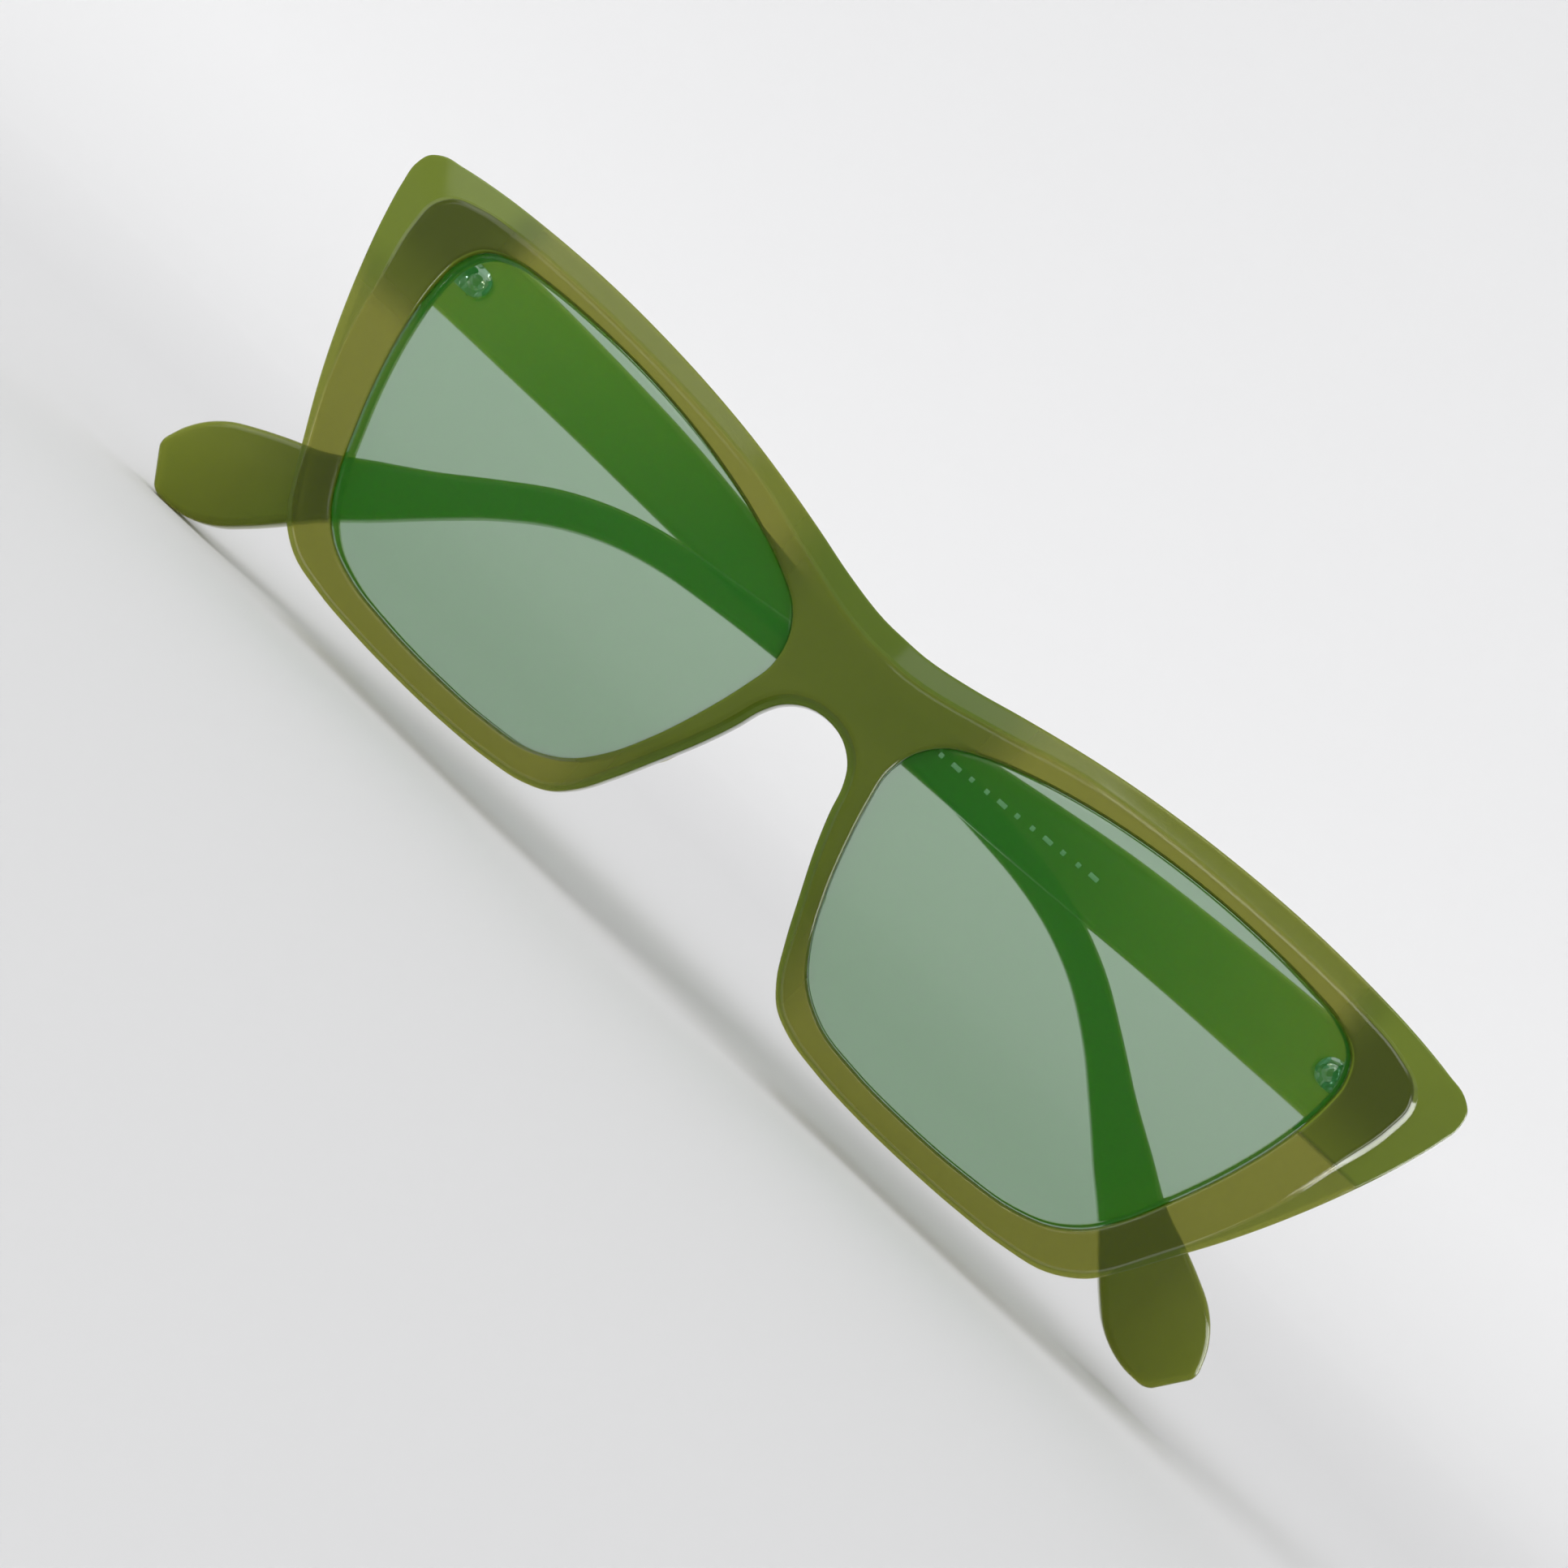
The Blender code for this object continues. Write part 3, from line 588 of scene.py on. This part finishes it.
def make_marks(name, side):
    """A row of plain dots and dashes inlaid in the temple's inner face."""
    bm = bmesh.new()
    surface = TEMPLE_IN
    along, pitch = 33.0, 1.9
    for k in range(11):
        wide = 1.1 if k % 3 == 0 else 0.5
        height = 12.05 - HINGE_Z - 0.075 * (along + k * pitch - 33.0)
        half = Matrix.Diagonal((0.06, wide, 0.5, 1.0))
        at = Matrix.Translation((side * (surface - 0.005), along + k * pitch, height - 0.35))
        bmesh.ops.create_cube(bm, size=1.0, matrix=at @ half)
    bmesh.ops.bevel(bm, geom=bm.edges[:], offset=0.02, segments=2, affect="EDGES", profile=0.5)
    obj = new_object(name, bm, 40)
    obj.data.transform(hinge_matrix(side))
    return obj


# ---- hinges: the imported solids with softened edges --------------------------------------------
def softened(node, name, radius=0.1):
    source = frame["nodes"][node]
    bm = bmesh.new()
    bm.from_mesh(source.data)
    bmesh.ops.remove_doubles(bm, verts=bm.verts, dist=2e-6)
    bmesh.ops.dissolve_limit(bm, angle_limit=math.radians(3), verts=bm.verts, edges=bm.edges)
    obj = new_object(name, bm, 30)
    bevel = obj.modifiers.new("bevel", "BEVEL")
    bevel.width = radius * MM
    bevel.segments = 3
    bevel.limit_method = "ANGLE"
    bevel.angle_limit = math.radians(35)
    bevel.use_clamp_overlap = True
    obj.data = baked(obj)
    obj.modifiers.clear()
    obj.data.shade_smooth()
    obj.data.set_sharp_from_angle(angle=math.radians(35))
    return obj


# ---- materials -----------------------------------------------------------------------------
def node_material(name):
    mat = bpy.data.materials.new(name)
    mat.use_nodes = True
    mat.node_tree.nodes.clear()
    out = mat.node_tree.nodes.new("ShaderNodeOutputMaterial")
    return mat, mat.node_tree.nodes, mat.node_tree.links, out


def clouds(nodes, links, scale, detail, low, high, colours):
    """Soft variation in object space, from one colour to another."""
    place = nodes.new("ShaderNodeTexCoord")
    noise = nodes.new("ShaderNodeTexNoise")
    noise.inputs["Scale"].default_value = scale
    noise.inputs["Detail"].default_value = detail
    links.new(place.outputs["Object"], noise.inputs["Vector"])
    ramp = nodes.new("ShaderNodeValToRGB")
    ramp.color_ramp.elements[0].position = low
    ramp.color_ramp.elements[1].position = high
    ramp.color_ramp.elements[0].color = (*colours[0], 1)
    ramp.color_ramp.elements[1].color = (*colours[1], 1)
    links.new(noise.outputs["Fac"], ramp.inputs["Fac"])
    return place, noise, ramp


def gloss_share(nodes, links, head_on):
    """The share of light that a polished surface mirrors: little head on, all of it at a glance."""
    facing = nodes.new("ShaderNodeLayerWeight")
    facing.inputs["Blend"].default_value = 0.5
    power = nodes.new("ShaderNodeMath")
    power.operation = "POWER"
    power.inputs[1].default_value = 5.0
    links.new(facing.outputs["Facing"], power.inputs[0])
    share = nodes.new("ShaderNodeMath")
    share.operation = "MULTIPLY_ADD"
    share.inputs[1].default_value = 1.0 - head_on
    share.inputs[2].default_value = head_on
    links.new(power.outputs["Value"], share.inputs[0])
    return share.outputs["Value"]


def polished(nodes, links, out, under, head_on, roughness, normal=None):
    """A clear polish over another shader."""
    shine = nodes.new("ShaderNodeBsdfGlossy")
    shine.inputs["Color"].default_value = (1, 1, 1, 1)
    if isinstance(roughness, float):
        shine.inputs["Roughness"].default_value = roughness
    else:
        links.new(roughness, shine.inputs["Roughness"])
    if normal is not None:
        links.new(normal, shine.inputs["Normal"])
    mix = nodes.new("ShaderNodeMixShader")
    links.new(gloss_share(nodes, links, head_on), mix.inputs["Fac"])
    links.new(under, mix.inputs[1])
    links.new(shine.outputs["BSDF"], mix.inputs[2])
    links.new(mix.outputs["Shader"], out.inputs["Surface"])


def blend_of(nodes, links, fac, low, high):
    """A number between two values, by a factor socket."""
    spread = nodes.new("ShaderNodeMapRange")
    spread.inputs["To Min"].default_value = low
    spread.inputs["To Max"].default_value = high
    links.new(fac, spread.inputs["Value"])
    return spread.outputs["Result"]


def product(nodes, links, a, b):
    times = nodes.new("ShaderNodeMath")
    times.operation = "MULTIPLY"
    links.new(a, times.inputs[0])
    links.new(b, times.inputs[1])
    return times.outputs["Value"]


def colour_between(nodes, links, fac, a, b):
    """A colour from a (fac 0) to b (fac 1). Either may be a socket."""
    mix = nodes.new("ShaderNodeMix")
    mix.data_type = "RGBA"
    links.new(fac, mix.inputs["Factor"])
    for value, socket in ((a, mix.inputs["A"]), (b, mix.inputs["B"])):
        if isinstance(value, tuple):
            socket.default_value = (*value, 1)
        else:
            links.new(value, socket)
    return mix.outputs["Result"]


def corner_mask(nodes, links, place):
    """Three masks for denser colour, each from 0 to 1: the wings' corners, the same corners fading
    downwards, and the bridge. They stand in for depth that the photo shows but the model has not. In the
    corners the darker colour is also painted shade, where the hinge block and the temple ends behind the
    wing would shade the acetate.
    """
    split = nodes.new("ShaderNodeSeparateXYZ")
    links.new(place.outputs["Object"], split.inputs["Vector"])
    side = nodes.new("ShaderNodeMath")
    side.operation = "ABSOLUTE"
    links.new(split.outputs["X"], side.inputs[0])
    steps = []
    base = ORIGIN.z / MM
    across_x, height = side.outputs["Value"], split.outputs["Z"]
    edge = base + CORNER_Z
    for value, low, high in ((across_x, CORNER_X - CORNER_IN_SOFT, CORNER_X + CORNER_IN_SOFT),
                             (across_x, CORNER_END + CORNER_OUT_SOFT, CORNER_END - CORNER_OUT_SOFT),
                             (height, edge - CORNER_CLEAN, edge + CORNER_CLEAN),
                             (height, edge - CORNER_HAZY, edge + CORNER_HAZY),
                             (split.outputs["X"], -1.0, 1.0),
                             (height, edge + CORNER_FADE[0], edge + CORNER_FADE[1]),
                             (across_x, MIDDLE_X + MIDDLE_SOFT, MIDDLE_X - MIDDLE_SOFT)):
        step = nodes.new("ShaderNodeMapRange")
        step.interpolation_type = "SMOOTHSTEP"
        step.inputs["From Min"].default_value = low * MM
        step.inputs["From Max"].default_value = high * MM
        links.new(value, step.inputs["Value"])
        steps.append(step.outputs["Result"])
    inner, outer, sharp, soft, left, slow, middle = steps
    across = product(nodes, links, inner, outer)
    above = nodes.new("ShaderNodeMix")
    for value, socket in ((left, above.inputs["Factor"]), (soft, above.inputs["A"]),
                          (sharp, above.inputs["B"])):
        links.new(value, socket)
    shaded_corner = product(nodes, links, across, above.outputs["Result"])
    return shaded_corner, product(nodes, links, shaded_corner, slow), middle


def acetate(name, dark, light, seen, clear, roughness, head_on, parts=False, along=None):
    """Polished acetate: a cloudy body colour, part of it clear.

    With parts, the outer band is greener and less clear than the raised one, and the corners are
    darker, with painted shade, and not clear at all; in the corners the band is painted lighter, painted
    light that stands in for the light it lets through elsewhere. With along, the colour changes along a
    temple and is much lighter towards the hinge, which is painted light. With either, thin edges are
    clearer than the rest.
    """
    mat, nodes, links, out = node_material(name)
    body = nodes.new("ShaderNodeBsdfPrincipled")
    place, noise, ramp = clouds(nodes, links, 60, 3, 0.3, 0.7, (dark, light))
    fine = nodes.new("ShaderNodeTexNoise")
    fine.inputs["Scale"].default_value = 700
    fine.inputs["Detail"].default_value = 4
    links.new(place.outputs["Object"], fine.inputs["Vector"])
    rough = blend_of(nodes, links, fine.outputs["Fac"], roughness * 0.6, roughness * 1.4)
    bump = nodes.new("ShaderNodeBump")
    bump.inputs["Strength"].default_value = 0.03
    bump.inputs["Distance"].default_value = 0.0001
    links.new(noise.outputs["Fac"], bump.inputs["Height"])
    links.new(bump.outputs["Normal"], body.inputs["Normal"])
    body.inputs["Roughness"].default_value = 0.5
    body.inputs["Specular IOR Level"].default_value = 0.0
    body.inputs["Subsurface Weight"].default_value = 0.2
    body.inputs["Subsurface Radius"].default_value = (1.0, 1.0, 0.4)
    body.inputs["Subsurface Scale"].default_value = 0.0015
    through = nodes.new("ShaderNodeBsdfTransparent")
    through.inputs["Color"].default_value = (*seen, 1)
    mix = nodes.new("ShaderNodeMixShader")
    mix.inputs["Fac"].default_value = clear
    colour = ramp.outputs["Color"]
    if parts:
        raised = nodes.new("ShaderNodeAttribute")
        raised.attribute_name = "raised"
        # corner makes the wings' corners less clear and gives them painted shade, darkest above, where
        # fading is 1; middle is the bridge's denser colour
        corner, fading, middle = corner_mask(nodes, links, place)
        # in the corners the outer band is painted lighter: painted light standing in for the light it
        # lets through elsewhere
        band = colour_between(nodes, links, corner, BAND_COLOUR, BAND_CORNER_LIGHT)
        corner_shade_colour = colour_between(nodes, links, fading, CORNER_SHADE_LOW, CORNER_SHADE)
        colour = colour_between(nodes, links, middle, colour, MIDDLE_COLOUR)
        colour = colour_between(nodes, links, corner, colour, corner_shade_colour)
        colour = colour_between(nodes, links, raised.outputs["Fac"], band, colour)
        see = blend_of(nodes, links, raised.outputs["Fac"], clear * BAND_CLEAR, clear)
        rest = blend_of(nodes, links, corner, 1.0, 0.0)
        rest = product(nodes, links, rest, blend_of(nodes, links, middle, 1.0, MIDDLE_CLEAR))
        clearness = product(nodes, links, see, rest)
    if along:
        place_along = nodes.new("ShaderNodeAttribute")
        place_along.attribute_name = "along"
        tone = nodes.new("ShaderNodeValToRGB")
        stops = tone.color_ramp.elements
        stops[0].color, stops[1].color = (*along[0][1], 1), (*along[-1][1], 1)
        for position, value in along[1:-1]:
            stops.new(position).color = (*value, 1)
        links.new(place_along.outputs["Fac"], tone.inputs["Fac"])
        # the colour along the temple, with its painted light near the hinge, times the body colour
        tone_with_light = nodes.new("ShaderNodeMix")
        tone_with_light.data_type = "RGBA"
        tone_with_light.blend_type = "MULTIPLY"
        tone_with_light.inputs["Factor"].default_value = 1.0
        links.new(tone.outputs["Color"], tone_with_light.inputs["A"])
        links.new(colour, tone_with_light.inputs["B"])
        colour = tone_with_light.outputs["Result"]
        near_hinge = nodes.new("ShaderNodeMapRange")
        near_hinge.inputs["From Max"].default_value = 0.3
        near_hinge.inputs["To Min"].default_value = HINGE_CLEAR
        near_hinge.inputs["To Max"].default_value = clear
        links.new(place_along.outputs["Fac"], near_hinge.inputs["Value"])
        clearness = near_hinge.outputs["Result"]
    if parts or along:
        facing = nodes.new("ShaderNodeLayerWeight")
        facing.inputs["Blend"].default_value = 0.5
        edge = product(nodes, links, facing.outputs["Facing"], facing.outputs["Facing"])
        total = nodes.new("ShaderNodeMath")
        total.use_clamp = True
        links.new(clearness, total.inputs[0])
        links.new(blend_of(nodes, links, edge, 0.0, EDGE_CLEAR), total.inputs[1])
        links.new(total.outputs["Value"], mix.inputs["Fac"])
    links.new(colour, body.inputs["Base Color"])
    links.new(body.outputs["BSDF"], mix.inputs[1])
    links.new(through.outputs["BSDF"], mix.inputs[2])
    polished(nodes, links, out, mix.outputs["Shader"], head_on, rough, bump.outputs["Normal"])
    return mat


def tinted_lens(name, tint, body_colour, body_share, roughness):
    """Tinted plastic, a trace cloudy: each side of the lens passes the square root of the whole tint."""
    mat, nodes, links, out = node_material(name)
    through = nodes.new("ShaderNodeBsdfTransparent")
    through.inputs["Color"].default_value = (*[math.sqrt(c) for c in tint], 1)
    place, noise, ramp = clouds(nodes, links, 25, 1, 0.3, 0.7,
                                (body_colour, [c * 1.15 for c in body_colour]))
    haze = nodes.new("ShaderNodeBsdfPrincipled")
    haze.inputs["Specular IOR Level"].default_value = 0.0
    haze.inputs["Roughness"].default_value = 0.6
    links.new(ramp.outputs["Color"], haze.inputs["Base Color"])
    mix = nodes.new("ShaderNodeMixShader")
    mix.inputs["Fac"].default_value = body_share
    links.new(through.outputs["BSDF"], mix.inputs[1])
    links.new(haze.outputs["BSDF"], mix.inputs[2])
    polished(nodes, links, out, mix.outputs["Shader"], 0.008, roughness)
    return mat


def metal(name, low, high, roughness, facets=False):
    mat, nodes, links, out = node_material(name)
    body = nodes.new("ShaderNodeBsdfPrincipled")
    place, noise, ramp = clouds(nodes, links, 900, 4, 0.35, 0.65, (low, high))
    links.new(ramp.outputs["Color"], body.inputs["Base Color"])
    spread = nodes.new("ShaderNodeMapRange")
    spread.inputs["To Min"].default_value = roughness * 0.6
    spread.inputs["To Max"].default_value = roughness * 1.4
    links.new(noise.outputs["Fac"], spread.inputs["Value"])
    links.new(spread.outputs["Result"], body.inputs["Roughness"])
    bump = nodes.new("ShaderNodeBump")
    bump.inputs["Strength"].default_value = 0.15
    bump.inputs["Distance"].default_value = 0.00005
    links.new(noise.outputs["Fac"], bump.inputs["Height"])
    if facets:
        cells = nodes.new("ShaderNodeTexVoronoi")
        cells.distance = "CHEBYCHEV"
        cells.inputs["Scale"].default_value = 700
        links.new(place.outputs["Object"], cells.inputs["Vector"])
        tilt = nodes.new("ShaderNodeBump")
        tilt.inputs["Strength"].default_value = 0.8
        tilt.inputs["Distance"].default_value = 0.0008
        links.new(cells.outputs["Distance"], tilt.inputs["Height"])
        links.new(tilt.outputs["Normal"], bump.inputs["Normal"])
        # the facets' colours, from the cap's own to a darker teal, are painted reflection: the contrast
        # that reflections of the room would give
        shade = nodes.new("ShaderNodeMapRange")
        shade.inputs["From Min"].default_value = 0.46
        shade.inputs["From Max"].default_value = 0.7
        links.new(cells.outputs["Color"], shade.inputs["Value"])
        facet_reflection = colour_between(nodes, links, shade.outputs["Result"], ramp.outputs["Color"], FACET_REFLECTION_DARK)
        links.new(facet_reflection, body.inputs["Base Color"])
    links.new(bump.outputs["Normal"], body.inputs["Normal"])
    body.inputs["Metallic"].default_value = 0.55 if facets else 1.0
    links.new(body.outputs["BSDF"], out.inputs["Surface"])
    return mat


def plain(name, low, high, roughness):
    mat, nodes, links, out = node_material(name)
    body = nodes.new("ShaderNodeBsdfPrincipled")
    place, noise, ramp = clouds(nodes, links, 300, 3, 0.35, 0.65, (low, high))
    links.new(ramp.outputs["Color"], body.inputs["Base Color"])
    body.inputs["Roughness"].default_value = roughness
    links.new(body.outputs["BSDF"], out.inputs["Surface"])
    return mat


# colours are linear, and were matched by sampled points to the photo
BAND_COLOUR = (0.095, 0.15, 0.014)
# the outer band in the wings' corners, where it is not clear: painted lighter, as painted light
BAND_CORNER_LIGHT = (0.145, 0.195, 0.02)
BAND_CLEAR = 0.65
# painted shade in the wings' corners: the darker colour above, the lighter one lower down
CORNER_SHADE = (0.055, 0.074, 0.004)
CORNER_SHADE_LOW = (0.1, 0.13, 0.008)
MIDDLE_COLOUR = (0.1, 0.138, 0.01)
MIDDLE_CLEAR = 0.2
EDGE_CLEAR = 0.5
HINGE_CLEAR = 0.6
FRONT = acetate("acetate_front", (0.07, 0.1, 0.006), (0.09, 0.12, 0.009), (0.74, 0.72, 0.3), 0.68, 0.1,
                0.014, parts=True)
# the colour along a temple, from the hinge (0) to the ear end (1); the much lighter colour near the
# hinge is painted light
TEMPLE_TONES_AND_LIGHT = [(0.0, (0.36, 0.41, 0.06)), (0.1, (0.28, 0.34, 0.045)), (0.32, (0.08, 0.13, 0.006)),
                (0.5, (0.06, 0.11, 0.004)), (0.8, (0.07, 0.15, 0.005)),
                (0.93, (0.11, 0.145, 0.01)), (1.0, (0.18, 0.22, 0.018))]
TEMPLES = acetate("acetate_temple", (0.8, 0.85, 0.7), (1.0, 1.0, 1.0), (0.76, 0.76, 0.3),
                  0.22, 0.12, 0.014, along=TEMPLE_TONES_AND_LIGHT)
PADS = acetate("acetate_pad", (0.1, 0.135, 0.014), (0.12, 0.155, 0.017), (0.84, 0.8, 0.5),
               0.75, 0.12, 0.014)
LENS = tinted_lens("lens_tint", (0.37, 0.4, 0.38), (0.05, 0.8, 0.03), 0.09, 0.02)
STEEL = metal("hinge_metal", (0.55, 0.6, 0.58), (0.72, 0.76, 0.74), 0.25)
# darkest painted reflection in the facets of the hinge caps
FACET_REFLECTION_DARK = (0.22, 0.46, 0.39)
CAP = metal("hinge_cap", (0.85, 1.0, 0.96), (1.0, 1.0, 1.0), 0.08, facets=True)
MARK = plain("inlaid_marks", (0.55, 0.8, 0.66), (0.65, 0.9, 0.76), 0.5)


def finish_piece(obj, mat, body, nodes):
    obj.data.materials.clear()
    obj.data.materials.append(mat)
    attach(obj, body)
    if nodes:
        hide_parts(*nodes)
    return obj


finish_piece(make_front(), FRONT, "front", ["front_frame"])
for side, tag in ((1, "left"), (-1, "right")):
    temple_body = "temple_" + tag
    finish_piece(make_lens("tinted_lens_" + tag, side), LENS, "front", ["lens_" + tag])
    finish_piece(make_pad("nose_rest_" + tag, side), PADS, "front", ["nose_pad_" + tag])
    finish_piece(make_temple("acetate_temple_" + tag, side), TEMPLES, temple_body, ["temple_" + tag])
    for node, name, body, metal_used in (("front_hinge_plate_", "hinge_plate_", "front", STEEL),
                                         ("hinge_screw_", "screw_", "front", STEEL),
                                         ("temple_hinge_leaf_", "hinge_leaf_", temple_body, CAP),
                                         ("temple_rivet_", "rivet_temple_", temple_body, CAP)):
        finish_piece(softened(node + tag, name + tag), metal_used, body, [node + tag])
    for where in ("upper", "lower"):
        node = "front_rivet_" + tag + "_" + where
        finish_piece(softened(node, "rivet_front_" + tag + "_" + where), STEEL, "front", [node])
finish_piece(make_marks("temple_marks_left", 1), MARK, "temple_left", [])


# ---- stage, light and camera -------------------------------------------------------------------
def make_bowl():
    """A seamless pale bowl: floor under the glasses, rising all round."""
    profile = [(0.3, 0.0), (0.6, 0.004)]
    floor_r, wall_r, high = 0.6, 1.6, 1.3
    for k in range(1, 13):
        a = math.radians(90 * k / 12)
        profile.append((floor_r + (wall_r - floor_r) * math.sin(a), 0.004 + high * (1 - math.cos(a))))
    bm = bmesh.new()
    steps = 96
    rings = []
    for r, z in profile:
        rings.append([bm.verts.new((r * math.cos(2 * math.pi * k / steps),
                                    r * math.sin(2 * math.pi * k / steps), z)) for k in range(steps)])
    for a, b in zip(rings, rings[1:]):
        quads(bm, a, b)
    bm.faces.new(rings[0])
    bowl = new_object("pale_bowl", bm, 0)
    bowl.location.z = -0.0002
    bowl.data.shade_smooth()
    bowl.data.materials.append(pale_floor())


def pale_floor():
    """Matt and pale, a little darker under the glasses, so that floor and wall look equally bright."""
    mat, nodes, links, out = node_material("pale_floor")
    body = nodes.new("ShaderNodeBsdfPrincipled")
    place = nodes.new("ShaderNodeTexCoord")
    far = nodes.new("ShaderNodeVectorMath")
    far.operation = "LENGTH"
    links.new(place.outputs["Object"], far.inputs[0])
    ramp = nodes.new("ShaderNodeValToRGB")
    ramp.color_ramp.elements[0].position = 0.2
    ramp.color_ramp.elements[1].position = 1.0
    ramp.color_ramp.elements[0].color = (0.63, 0.63, 0.635, 1)
    ramp.color_ramp.elements[1].color = (0.86, 0.86, 0.865, 1)
    links.new(far.outputs["Value"], ramp.inputs["Fac"])
    links.new(ramp.outputs["Color"], body.inputs["Base Color"])
    body.inputs["Roughness"].default_value = 1.0
    body.inputs["Specular IOR Level"].default_value = 0.0
    links.new(body.outputs["BSDF"], out.inputs["Surface"])
    return mat


def panel(name, azimuth, elevation, distance, width, height, radiance, shine_only=False):
    """A soft panel aimed at the glasses. Azimuth 0 is in front of them, positive to the wearer's left.

    A shine_only panel is seen in polished surfaces and adds no other light: it is there to give a
    highlight that the photo shows.
    """
    middle = world(0, 0, 0)
    az, el = math.radians(azimuth), math.radians(elevation)
    away = Vector((math.sin(az) * math.cos(el), -math.cos(az) * math.cos(el), math.sin(el)))
    light = bpy.data.lights.new(name, "AREA")
    light.shape = "RECTANGLE"
    light.size = width
    light.size_y = height
    light.energy = radiance * math.pi * width * height
    obj = bpy.data.objects.new(name, light)
    obj.location = middle + away * distance
    obj.rotation_euler = away.to_track_quat("Z", "Y").to_euler()
    obj.visible_diffuse = not shine_only
    obj.visible_camera = False
    bpy.context.scene.collection.objects.link(obj)
    return obj


def make_light():
    sky = bpy.data.worlds.new("soft_studio")
    sky.use_nodes = True
    back = sky.node_tree.nodes["Background"]
    back.inputs["Color"].default_value = (1.0, 1.0, 1.0, 1.0)
    back.inputs["Strength"].default_value = 1.0
    bpy.context.scene.world = sky
    panel("key", -60, 42, 1.1, 0.6, 0.6, 4.0)
    panel("band_light_a", -36, 20, 1.2, 0.55, 0.45, 3.0, True)
    panel("band_light_b", 4, 20, 1.2, 0.28, 0.45, 3.0, True)
    panel("side_strip", 86, 8, 0.25, 0.22, 0.12, 15.0, True)
    panel("brow_light", 26, 36, 1.0, 0.5, 0.2, 7.0, True)


CAMERA_PLACE = (18.21, -190.18, -0.86)
CAMERA_YAW = -5.163
CAMERA_PITCH = -0.435
CAMERA_ROLL = 43.2
CAMERA_LENS = 46.58


def make_camera():
    yaw, pitch, roll = (math.radians(a) for a in (CAMERA_YAW, CAMERA_PITCH, CAMERA_ROLL))
    ahead = Vector((math.sin(yaw) * math.cos(pitch), math.cos(yaw) * math.cos(pitch), math.sin(pitch)))
    level = Vector((math.cos(yaw), -math.sin(yaw), 0))
    above = level.cross(ahead)
    right = math.cos(roll) * level + math.sin(roll) * above
    up = -math.sin(roll) * level + math.cos(roll) * above
    camera = bpy.data.cameras.new("camera")
    camera.lens = CAMERA_LENS
    camera.sensor_width = 36.0
    camera.clip_start = 0.01
    camera.clip_end = 20.0
    obj = bpy.data.objects.new("camera", camera)
    turn = Matrix((right, up, -ahead)).transposed().to_4x4()
    obj.matrix_world = Matrix.Translation(world(*CAMERA_PLACE)) @ turn
    bpy.context.scene.collection.objects.link(obj)
    bpy.context.scene.camera = obj


make_bowl()
make_light()
make_camera()
bpy.context.scene.view_settings.view_transform = "Standard"
bpy.context.scene.view_settings.look = "None"
